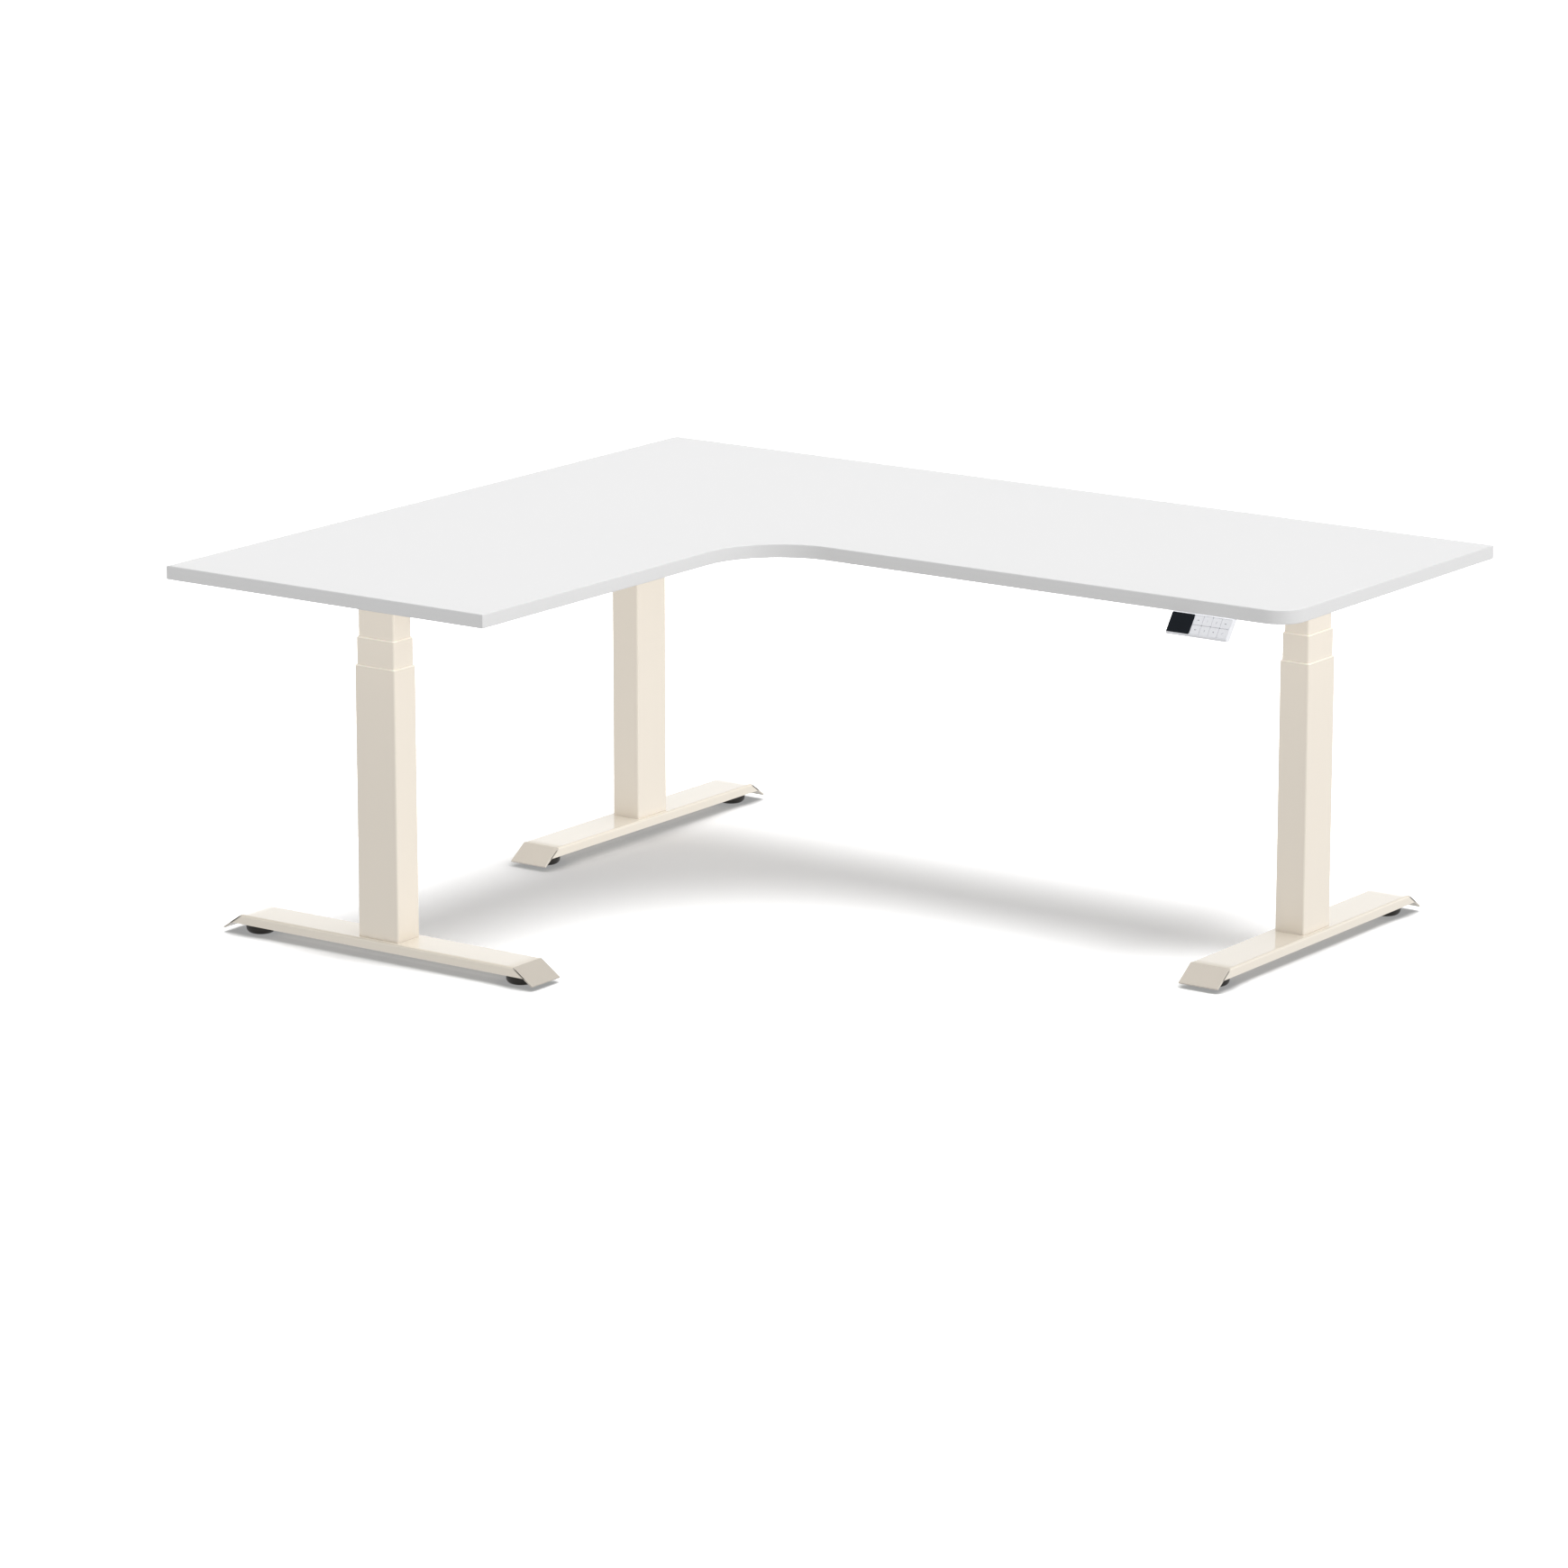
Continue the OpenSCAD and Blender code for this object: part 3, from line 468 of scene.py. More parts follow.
@dataclass(frozen=True)
class Finish:
    """Procedural material of one real finish."""

    name: str
    slot: str
    colour: str
    roughness: float
    grain: Grain
    grain_mm: float
    relief_mm: float
    metallic: float = 0.0
    ior: float = 1.5
    coat: float = 0.0
    coat_roughness: float = 0.03
    drift: float = 0.02
    drift_mm: float = 90.0
    polish: float = 0.04
    sheer: float = 0.0

    def material(self) -> bpy.types.Material:
        """Returns the finish's material, made once."""
        return made_material(self)

    def relief(self, tree: bpy.types.NodeTree, place: bpy.types.NodeSocket) -> bpy.types.NodeSocket:
        """Draws the height of the grain, from 0 to 1.

        Args:
            tree: Node tree of the material.
            place: Object coordinates.

        Returns:
            The height's socket.
        """
        size = self.grain_mm * MM
        add, at = partial(add_node, tree), {"Vector": place}
        if self.grain is Grain.TURNED:
            waves = {"Scale": WAVE_PERIOD / size, "Distortion": 0.6, "Detail": 2.0}
            lines = add("TexWave", waves, at, wave_type="BANDS", bands_direction="Z")
            return lines.outputs["Fac"]
        if self.grain is Grain.DRAWN:
            stretch = (1 / size, 1 / size, DRAWN_STRETCH / size)
            drawn = {"Vector": add("Mapping", {"Scale": stretch}, at).outputs[0]}
            return add("TexNoise", {"Scale": 1.0, "Detail": 3.0}, drawn).outputs["Fac"]
        if self.grain is Grain.SPARK:
            pits = add("TexVoronoi", {"Scale": 1 / size}, at, feature="SMOOTH_F1")
            return pits.outputs["Distance"]
        if self.grain is Grain.TRACES:
            gaps = {"Scale": 1 / size, "Mortar Size": 0.12, "Mortar Smooth": 0.3}
            return add("TexBrick", gaps, at, offset=0.37).outputs["Fac"]
        detail = {Grain.ORANGE_PEEL: 1.0, Grain.PEARL: 4.0}.get(self.grain, 6.0)
        return add("TexNoise", {"Scale": 1 / size, "Detail": detail}, at).outputs["Fac"]


@lru_cache(maxsize=None)
def made_material(finish: Finish) -> bpy.types.Material:
    """Builds a finish: one slow cloud for the drift of its colour and of its polish, and
    the relief of its grain.

    Args:
        finish: The finish to build.

    Returns:
        Its material.
    """
    material = bpy.data.materials.new(finish.name)
    material.use_nodes = True
    tree = material.node_tree
    shader = next(n for n in tree.nodes if n.type == "BSDF_PRINCIPLED")
    add = partial(add_node, tree)
    place = add("TexCoord").outputs["Object"]
    slow = {"Scale": 1 / (finish.drift_mm * MM), "Detail": 3.0}
    cloud = add("TexNoise", slow, {"Vector": place}).outputs["Fac"]
    # a Mix node of colours takes them at inputs 6 and 7 and gives the mixed one at output 2
    deep, pale = linear(finish.colour, 1 - finish.drift), linear(finish.colour, 1 + finish.drift)
    tint = add("Mix", {6: deep, 7: pale}, {0: cloud}, data_type="RGBA")
    height = finish.relief(tree, place)
    if finish.grain is Grain.TRACES:
        copper = {7: linear(finish.colour, COPPER_GAIN)}
        tint = add("Mix", copper, {0: height, 6: tint.outputs[2]}, data_type="RGBA")
    mean, swing = finish.roughness, finish.polish
    spread = {"To Min": mean - swing, "To Max": mean + swing}
    polish = add("MapRange", spread, {"Value": cloud})
    depth = {"Strength": 1.0, "Distance": finish.relief_mm * MM}
    bump = add("Bump", depth, {"Height": height})
    for name, value in {
        "Metallic": finish.metallic,
        "IOR": finish.ior,
        "Coat Weight": finish.coat,
        "Coat Roughness": finish.coat_roughness,
        "Subsurface Weight": finish.sheer,
        "Subsurface Scale": 1.5 * MM,
    }.items():
        shader.inputs[name].default_value = value
    tree.links.new(tint.outputs[2], shader.inputs["Base Color"])
    tree.links.new(polish.outputs["Result"], shader.inputs["Roughness"])
    tree.links.new(bump.outputs["Normal"], shader.inputs["Normal"])
    return material


# Powder coat, cream, semi-gloss: a hard even film that mirrors what stands on it and
# carries the faint waviness of baked powder. The waves are drawn 3 mm long.
CREAM_POWDER = Finish(
    "cream_powder_coat", "powder_coat", "#f3eadc", 0.04, Grain.ORANGE_PEEL, 3.0, 0.0007,
    metallic=0.08, drift=0.008, drift_mm=160, polish=0.02,
)
# The same powder under a clear coat, which makes the flat top of a foot mirror its column.
COATED_POWDER = replace(
    CREAM_POWDER, name="clear_coated_cream_powder", colour="#efe6d7", coat=1.0, coat_roughness=0.02,
)
# The same powder on the slanted end plates, painted darker: painted shade for the shade that the
# slanted ends take.
SHADED_END_POWDER = Finish(
    "darker_cream_powder_coat", "powder_coat", "#dcd4c8", 0.12, Grain.ORANGE_PEEL, 3.0, 0.0012,
    metallic=0.08, drift=0.008, drift_mm=60, polish=0.02,
)
# A deeper copy of it on the plates of the foot whose ends face the light: more painted shade, so
# that they look no brighter than the other ends.
DEEPER_SHADED_END_POWDER = replace(SHADED_END_POWDER, name="deep_cream_powder_coat", colour="#c6bfb4")
# Melamine face of the boards: white, satin, with a fine pearl relief from the press
# plate. Real pearls are 0.3 mm; they are drawn 0.9 mm wide to show in close views.
WHITE_MELAMINE = Finish(
    "white_melamine", "board_laminate", "#f3f3f3", 0.42, Grain.PEARL, 0.9, 0.010,
    ior=1.48, drift=0.006, drift_mm=240, polish=0.04,
)
# ABS edge band of the boards: the faces' white, a little smoother, but painted a shade darker:
# painted shade for the shade on the board's sides.
SHADED_ABS_EDGE = Finish(
    "white_abs_edge_band", "board_laminate", "#e5e5e5", 0.36, Grain.SPARK, 0.8, 0.008,
    ior=1.53, drift=0.006, drift_mm=200, polish=0.03,
)
# Nylon 6 of the glides: moulded, natural ivory, slightly translucent, waxy.
WHITE_NYLON = Finish(
    "natural_nylon", "glide_nylon", "#faf2e5", 0.38, Grain.MOTTLED, 2.0, 0.006,
    ior=1.53, sheer=0.15, drift=0.012, drift_mm=25,
)
# Acetal of the nuts: moulded, milky and slick.
MILKY_ACETAL = Finish(
    "milky_acetal", "nut_acetal", "#eeece6", 0.3, Grain.MOTTLED, 2.5, 0.005,
    ior=1.48, sheer=0.2, drift=0.015, drift_mm=30,
)
# Moulded rubber of the levelling feet: warm black with a soft wide highlight.
PAD_RUBBER = Finish(
    "moulded_rubber", "pad_rubber", "#221f1b", 0.5, Grain.SPARK, 0.7, 0.012,
    ior=1.4, drift=0.10, drift_mm=9, polish=0.06,
)
# Bright zinc plate of screws, bolts and plates: cool, with cloudy passivation.
BRIGHT_ZINC = Finish(
    "bright_zinc_plate", "zinc_screws", "#c6c8ca", 0.30, Grain.MOTTLED, 1.6, 0.008,
    metallic=1.0, drift=0.06, drift_mm=6, polish=0.08,
)
# Rolled thread of the drive screws: bare steel under a thin film of grease.
ROLLED_STEEL = Finish(
    "rolled_steel", "bare_steel", "#8e9093", 0.27, Grain.TURNED, 0.8, 0.010,
    metallic=1.0, coat=0.3, coat_roughness=0.15, drift=0.05, drift_mm=14, polish=0.06,
)
# Drawn tube of the standing nut tubes and the motor cans: galvanised steel.
DRAWN_STEEL = Finish(
    "galvanised_drawn_steel", "motor_steel", "#a4a7ab", 0.36, Grain.DRAWN, 0.6, 0.012,
    metallic=1.0, drift=0.08, drift_mm=18, polish=0.08,
)
# Control box: ABS, dark grey, from a spark-eroded mould; an even dull sparkle.
BOX_ABS = Finish(
    "textured_abs", "box_plastic", "#3a3c3f", 0.52, Grain.SPARK, 0.9, 0.05,
    ior=1.53, drift=0.04, drift_mm=40,
)
# Soft PVC of the leads and their clips: dull black.
LEAD_PVC = Finish(
    "soft_pvc", "lead_jacket", "#26272a", 0.55, Grain.MOTTLED, 1.2, 0.02,
    ior=1.53, drift=0.06, drift_mm=12,
)
# Glass-fibre circuit laminate: green lacquer over copper traces.
GREEN_LAMINATE = Finish(
    "lacquered_circuit_laminate", "circuit_board", "#1d5a34", 0.22, Grain.TRACES, 9.0, 0.04,
    ior=1.55, coat=0.6, coat_roughness=0.08, drift=0.05, drift_mm=20,
)
# Handset case: ABS, cool white, fine texture.
HANDSET_ABS = Finish(
    "cool_white_abs", "handset_plastic", "#f6f7fb", 0.36, Grain.SPARK, 0.6, 0.006,
    ior=1.53, drift=0.008, drift_mm=40, polish=0.03,
)
# Key caps: the same resin, polished smoother.
KEY_ABS = Finish(
    "key_cap_abs", "handset_plastic", "#f6f7fb", 0.28, Grain.MOTTLED, 1.5, 0.001,
    ior=1.53, drift=0.01, drift_mm=12, polish=0.03,
)
# Smoked acrylic of the display: near black, polished, with a blue cast.
SMOKED_ACRYLIC = Finish(
    "smoked_acrylic", "display_glass", "#131920", 0.07, Grain.MOTTLED, 8.0, 0.002,
    ior=1.42, coat=0.05, coat_roughness=0.02, drift=0.15, drift_mm=22, polish=0.01,
)
# Pad-printed ink of the key marks, dark and pale.
DARK_INK = Finish(
    "dark_pad_ink", "handset_plastic", "#33373e", 0.45, Grain.MOTTLED, 0.6, 0.003,
    drift=0.05, drift_mm=2,
)
PALE_INK = replace(DARK_INK, name="pale_pad_ink", colour="#a9aeb6")


# ------------------------------------------------------------------ pieces


def in_scene(name: str, data: bpy.types.ID) -> bpy.types.Object:
    """Makes an object of a mesh, a lamp or a camera and links it into the scene.

    Args:
        name: Name of the object.
        data: What it shows.

    Returns:
        The object, at the origin.
    """
    thing = bpy.data.objects.new(name, data)
    bpy.context.scene.collection.objects.link(thing)
    return thing


@dataclass
class Piece:
    """One object of the scene: its shell, finishes, body and the CAD nodes it stands for."""

    name: str
    shell: Shell
    finishes: tuple[Finish, ...]
    body: str
    stands_for: tuple[str, ...] = ()
    bevel_mm: float = 0.0
    sharp_deg: float = 38.0

    def make_object(self) -> bpy.types.Object:
        """Writes the shell into a mesh in metres and links an object at the origin.

        Returns:
            The object, riding on its body.
        """
        mesh = bpy.data.meshes.new(self.name)
        faces = self.shell.faces
        corners = np.concatenate([f.ravel() for f in faces])
        sizes = np.concatenate([np.full(len(f), f.shape[1]) for f in faces])
        numbers = np.concatenate([np.full(len(f), n) for f, n in zip(faces, self.shell.finish)])
        mesh.vertices.add(len(self.shell.points))
        mesh.vertices.foreach_set("co", (self.shell.points * MM).astype(np.float32).ravel())
        mesh.loops.add(len(corners))
        mesh.loops.foreach_set("vertex_index", corners.astype(np.int32))
        mesh.polygons.add(len(sizes))
        mesh.polygons.foreach_set("loop_start", (np.cumsum(sizes) - sizes).astype(np.int32))
        mesh.polygons.foreach_set("material_index", numbers.astype(np.int32))
        mesh.polygons.foreach_set("use_smooth", np.ones(len(sizes), bool))
        mesh.update(calc_edges=True)
        mesh.validate()
        mesh.set_sharp_from_angle(angle=math.radians(self.sharp_deg))
        piece = in_scene(self.name, mesh)
        if self.bevel_mm:
            bevel = piece.modifiers.new("worn_edges", "BEVEL")
            bevel.width, bevel.segments = self.bevel_mm * MM, 2
            bevel.limit_method, bevel.angle_limit = "ANGLE", math.radians(self.sharp_deg)
        even = piece.modifiers.new("even_normals", "WEIGHTED_NORMAL")
        even.keep_sharp = True
        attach(piece, self.body)
        if self.stands_for:
            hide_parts(*self.stands_for)
        return piece

    def dress(self, piece: bpy.types.Object) -> None:
        """Gives the object its materials."""
        for finish in self.finishes:
            piece.data.materials.append(finish.material())


class SubAssembly:
    """Pieces that are made together, and CAD nodes that keep their shape."""

    def pieces(self) -> list[Piece]:
        """Returns the new pieces."""
        raise NotImplementedError

    def kept(self) -> dict[str, Finish]:
        """Returns the finish of each CAD node that keeps its shape."""
        return {}

    def build(self, nodes: dict[str, bpy.types.Object]) -> None:
        """Makes and dresses every piece, and dresses the kept nodes.

        Args:
            nodes: The CAD nodes by name.
        """
        for piece in self.pieces():
            made = piece.make_object()
            piece.dress(made)
            LOG.info("%s: %d points on %s", piece.name, len(piece.shell.points), piece.body)
        for name, finish in self.kept().items():
            mesh = nodes[name].data
            mesh.materials.clear()
            mesh.materials.append(finish.material())
            LOG.info("%s: CAD shape kept, finish %s", name, finish.name)


def node_box(name: str) -> tuple[Array, Array]:
    """Lowest and highest corner of a CAD node, in millimetres."""
    low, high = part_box(name)
    return np.array(low) / MM, np.array(high) / MM


def node_sides(name: str) -> tuple[Array, Array, float, float]:
    """Lowest and highest corner of a CAD node, then its shorter and longer level side."""
    low, high = node_box(name)
    return (low, high, *sorted((high - low)[:2]))


def middle_below(low: Array, high: Array) -> Array:
    """Middle of a box, brought down to z = 0."""
    return (low + high) / 2 * [1, 1, 0]


class Leg(Enum):
    """The three legs, with the turn of each one's own frame about Z."""

    CORNER = -90.0
    RIGHT = 90.0
    RETURN = 0.0

    @property
    def label(self) -> str:
        """Name of the leg in the names of nodes and bodies."""
        return self.name.lower()

    def origin(self) -> Array:
        """Place of the leg's axis on the floor."""
        return middle_below(*node_box(f"{self.label}_outer_tube"))

    def put(self, shell: Shell) -> Shell:
        """Carries a shell from the leg's own frame into the desk's."""
        return shell.placed(self.origin(), turn_z(self.value))

    def point(self, x: float, y: float) -> Array:
        """Place in the desk's frame of a point in the leg's own frame."""
        return (self.origin() + turn_z(self.value) @ np.array([x, y, 0.0]))[:2]


class Drive(Enum):
    """Recess in a screw's head."""

    HEX = "hexagon socket"
    CROSS = "cross recess"

    def outline(self, size: float, turn: Array) -> Array:
        """Radius of the recess at each angle: of a hexagon, size / cos of the angle from
        the nearest flat; of a cross, the further of its two bars.

        Args:
            size: Half width across flats, or length of a bar.
            turn: Angles.

        Returns:
            Radii.
        """
        if self is Drive.HEX:
            return size / np.cos((turn % (math.pi / 3)) - math.pi / 6)
        across, along = np.abs(np.sin(turn)), np.abs(np.cos(turn))
        wide, narrow = np.maximum(across, along), np.minimum(across, along)
        return np.minimum(size / wide, 0.3 * size / np.maximum(narrow, 1e-3))


@dataclass(frozen=True)
class Screw:
    """Screw that stands on z = 0 with its head downwards, or a bolt along an axis."""

    head_r: float
    head_h: float
    shank_r: float
    shank_l: float
    drive: Drive
    drive_size: float
    drive_depth: float
    steps: int = 24

    def shell(self) -> Shell:
        """Skins circles for shank, seat and head, and the drive's outline for the recess.

        Returns:
            A closed shell whose shank stands up from z = 0.
        """
        turn = full_turn(self.steps)
        recess = self.drive.outline(self.drive_size, turn)
        circle = np.ones(self.steps)
        crown = 0.35 * self.head_h
        rows = [
            (recess * 0.85, self.drive_depth - self.head_h),
            (recess, -self.head_h),
            (circle * self.head_r * 0.84, -self.head_h),
            (circle * self.head_r * 0.96, crown * 0.4 - self.head_h),
            (circle * self.head_r, crown - self.head_h),
            (circle * self.head_r, 0.0),
            (circle * self.shank_r, 0.0),
            (circle * self.shank_r, self.shank_l - self.shank_r),
            (circle * self.shank_r * 0.35, self.shank_l),
        ]
        radii, heights = (np.array(column) for column in zip(*rows))
        return loft(polar_rings(radii, heights[:, None], turn))


def channel(
    width: float, radius: float, sheet: float, top: float, depth: Array, reach: Array
) -> Shell:
    """Channel folded from sheet, open downwards: a profile of flange, bend, web, bend and
    flange with a second one a sheet's thickness inside it, carried along X.

    Args:
        width: Outer width along Y.
        radius: Outer radius of the bends.
        sheet: Thickness of the sheet.
        top: Height of the web's upper face.
        depth: Depth of the flanges at each station.
        reach: Place of each station along X, as stations by two: at the upper face, and
            its growth for every millimetre below that.

    Returns:
        A closed shell.
    """
    centre, inner = width / 2 - radius, radius - sheet
    corner_y, corner_z = centre + radius * np.cos(QUARTER), -radius + radius * np.sin(QUARTER)
    inner_y, inner_z = centre + inner * np.cos(QUARTER), -radius + inner * np.sin(QUARTER)
    y_out = np.concatenate([[width / 2], corner_y, -corner_y[::-1], [-width / 2]])
    y_in = np.concatenate([[width / 2 - sheet], inner_y, -inner_y[::-1], [sheet - width / 2]])
    z_out = np.concatenate([[0.0], corner_z, corner_z[::-1], [0.0]])
    z_in = np.concatenate([[0.0], inner_z, inner_z[::-1], [0.0]])
    y = np.concatenate([y_out, y_in[::-1]])
    drop = np.broadcast_to(np.concatenate([z_out, z_in[::-1]]), (len(depth), len(y))).copy()
    flange = [0, len(y_out) - 1, len(y_out), len(y) - 1]
    drop[:, flange] = -depth[:, None]
    x = reach[:, :1] - reach[:, 1:] * drop
    rings = np.stack([x, np.broadcast_to(y, x.shape), top + drop], axis=-1)
    stations, points = x.shape
    half = points // 2
    first = np.arange(half - 1)
    far = points - 1 - first
    end = np.stack([first, first + 1, far - 1, far], axis=-1)
    last = (stations - 1) * points
    return Shell(rings.reshape(-1, 3), [grid_quads(stations, points), end[:, ::-1], end + last])


@dataclass
class Desktop(SubAssembly):
    """L-shaped top of two boards, with round edges and a band round the sides."""

    edge_radius: float = 2.0
    inner_radius: float = 150.0
    outer_radius: float = 50.0
    seam_share: float = 0.12
    band_t: float = 1.0

    def main_outline(self) -> Array:
        """Outline of the long board: its corner points joined by a concave arc of
        centre + r (cos a, sin a) between the wings and a convex one at the free corner.

        Returns:
            Anticlockwise corners, the seam's edge first.
        """
        low, high = node_box("main_board")
        inner_x = node_box("return_board")[1][0]
        front = low[1] + self.inner_radius
        concave = np.linspace(math.pi, math.pi / 2, 25)
        convex = np.linspace(-math.pi / 2, 0, 13)
        hollow = [inner_x, low[1]] + self.inner_radius * (on_circle(concave) + [1, 0])
        free = [high[0], front] + self.outer_radius * (on_circle(convex) + [-1, 1])
        back = [[high[0], high[1]], [low[0], high[1]]]
        return np.vstack([[[low[0], low[1]]], hollow, free, back])

    def board(self, outline: Array, seam_edge: int, low: float, high: float) -> Shell:
        """Board with quarter-round edges, but for its sharp edge at the seam.

        Args:
            outline: Anticlockwise corners.
            seam_edge: Number of the edge at the seam.
            low: Height of the lower face.
            high: Height of the upper face.

        Returns:
            A shell with the faces as finish 0 and the band as finish 1.
        """
        share = np.ones(len(outline))
        share[seam_edge] = self.seam_share
        stack = soft_stack(low, high, self.edge_radius, steps=6)
        shell = loft(inset_rings(outline, stack, share))
        rows = shell.faces[0].reshape(len(stack) - 1, -1, 4)
        on_band = (stack[:-1, 0] + stack[1:, 0]) / 2 < self.band_t
        return Shell(
            shell.points,
            [rows[on_band].reshape(-1, 4), rows[~on_band].reshape(-1, 4), *shell.faces[1:]],
            [1, 0, 0, 0],
        )

    def pieces(self) -> list[Piece]:
        """Returns the two boards."""
        low, high = node_box("return_board")
        left, right = low[0], high[0]
        square = np.array([[left, low[1]], [right, low[1]], [right, high[1]], [left, high[1]]])
        # the band's finish carries painted shade for the boards' sides
        finishes = (WHITE_MELAMINE, SHADED_ABS_EDGE)
        main = self.board(self.main_outline(), 0, low[2], high[2])
        side = self.board(square, 2, low[2], high[2])
        return [
            Piece("long_board", main, finishes, "top", ("main_board",), sharp_deg=50),
            Piece("return_wing_board", side, finishes, "top", ("return_board",), sharp_deg=50),
        ]


@dataclass
class Feet(SubAssembly):
    """Folded feet with slanted ends, their screws and their levelling pads."""

    sheet: float = 3.0
    bend_radius: float = 4.0
    flat_l: float = 614.0
    flange_z: float = 20.6
    stations: int = 33
    plate_gap: float = 0.9
    plate_radius: float = 0.6
    plate_edge: float = 0.45
    pad_inset: float = 13.6
    pad_bowl: float = 10.0
    pad_h: float = 17.0
    parting_z: float = 13.5
    stud_r: float = 4.0
    thread_h: float = 0.35
    insert_bore: float = 4.3
    insert_r: float = 7.0
    insert_z: float = 19.0
    screw_at: tuple[float, float] = (30.0, 17.0)
    screw: Screw = Screw(6.5, 5.0, 4.0, 9.0, Drive.HEX, 2.5, 2.6)

    @property
    def pad_x(self) -> float:
        """Distance of a pad from the leg's axis."""
        return self.flat_l / 2 - self.pad_inset

    def foot(self, leg: Leg) -> Shell:
        """Folded channel whose ends lean along the slanted plates, and both plates.

        Args:
            leg: The leg it carries.

        Returns:
            The foot in the desk's frame.
        """
        low, high, width, length = node_sides(f"{leg.label}_foot")
        half, tip = self.flat_l / 2, length / 2
        grow = (tip - half) / (high[2] - low[2])
        steps = np.linspace(-1, 1, self.stations)
        reach = np.column_stack([steps * (half - self.plate_gap), steps * grow])
        depth = np.full(len(steps), high[2] - self.flange_z)
        tray = channel(width, self.bend_radius, self.sheet, high[2], depth, reach)
        plates = [self.end_plate(side, tip, width, low[2], high[2]) for side in (1, -1)]
        return leg.put(joined([tray, *plates]))

    def end_plate(self, side: int, tip: float, width: float, low: float, high: float) -> Shell:
        """Slanted end: a slab as thick as the sheet, whose length runs down the slant.

        Args:
            side: End of the foot, 1 or -1 along X.
            tip: Distance of the lower edge from the leg's axis.
            width: Width of the foot.
            low: Height of the lower edge.
            high: Height of the fold.

        Returns:
            The plate in the leg's own frame, with finish 1.
        """
        fold = self.flat_l / 2
        down = np.array([side * (tip - fold), 0.0, low - high])
        length = np.linalg.norm(down)
        down /= length
        out = np.array([side * (high - low), 0.0, tip - fold]) / length
        axes = np.column_stack([down, np.cross(out, down), out])
        plate = slab(length, width, -self.sheet, 0.0, self.plate_radius, self.plate_edge)
        middle = np.array([side * fold, 0.0, high]) + down * length / 2
        return plate.placed(middle, axes).painted(1)

    def pad(self, side: int) -> Shell:
        """Levelling pad with a bowl-shaped lower edge, a parting line and a ribbed stud.

        Args:
            side: End of the foot, 1 or -1 along X.

        Returns:
            The pad in the leg's own frame.
        """
        low, high = node_box("return_right_leveller")
        radius, bowl, top = (high[0] - low[0]) / 2, self.pad_bowl, self.pad_h
        rise = np.arange(top + 1.0, high[2] - 1.2, 1.0)
        hollow = [[3.0, 0.8], [radius - bowl - 2.0, 0.8], [radius - bowl - 1.0, 0.0]]
        curve = [radius - bowl, bowl] + bowl * on_circle(np.linspace(-math.pi / 2, 0, 9))
        seam = self.parting_z
        parting = [[radius, seam - 0.3], [radius - 0.35, seam], [radius, seam + 0.3]]
        shoulder = [[radius, top - 1.2], [radius - 0.4, top - 0.35], [radius - 1.4, top], [9, top]]
        neck = [[8.0, top + 0.8], [self.stud_r, top + 0.8]]
        thread = np.column_stack([self.stud_r - self.thread_h * (np.arange(len(rise)) % 2), rise])
        tip = [[self.stud_r - 0.8, high[2]]]
        profile = np.vstack([hollow, curve, parting, shoulder, neck, thread, tip])
        return revolved(profile, steps=48).placed((side * self.pad_x, 0, 0))

    def fasteners(self, leg: Leg) -> Shell:
        """Screws that hold the leg down on the foot, and the inserts of the pads.

        Args:
            leg: The leg.

        Returns:
            All of them in the desk's frame.
        """
        under = node_box(f"{leg.label}_foot")[1][2] - self.sheet
        screw = self.screw.shell()
        bore, r, z = self.insert_bore, self.insert_r, self.insert_z
        insert = [[bore, z], [r - 0.4, z], [r, z + 0.4], [r, under], [bore, under]]
        insert = revolved(insert, 24, hollow=True)
        ends = [insert.placed((side * self.pad_x, 0, 0)) for side in (-1, 1)]
        x, y = self.screw_at
        places = [(sx * x, sy * y, under) for sx in (-1, 1) for sy in (-1, 1)]
        return leg.put(joined([screw.placed(p) for p in places] + ends))

    def pieces(self) -> list[Piece]:
        """Returns the feet, the pads and the fasteners."""
        made = [
            Piece(
                f"{leg.label}_folded_foot", self.foot(leg),
                # end plates take darker copies of the powder as painted shade, the return leg's a
                # deeper one
                (COATED_POWDER, DEEPER_SHADED_END_POWDER if leg is Leg.RETURN else SHADED_END_POWDER), "base",
                (f"{leg.label}_foot",),
            )
            for leg in Leg
        ]
        ends = {
            "corner_front": (Leg.CORNER, 1), "corner_back": (Leg.CORNER, -1),
            "right_front": (Leg.RIGHT, -1), "right_back": (Leg.RIGHT, 1),
            "return_left": (Leg.RETURN, -1), "return_right": (Leg.RETURN, 1),
        }
        for name, (leg, side) in ends.items():
            node = f"{name}_leveller"
            made.append(Piece(f"{name}_pad", leg.put(self.pad(side)), (PAD_RUBBER,), node, (node,)))
        screws = joined([self.fasteners(leg) for leg in Leg])
        return made + [Piece("foot_screws", screws, (BRIGHT_ZINC,), "base", ("foot_fasteners",))]


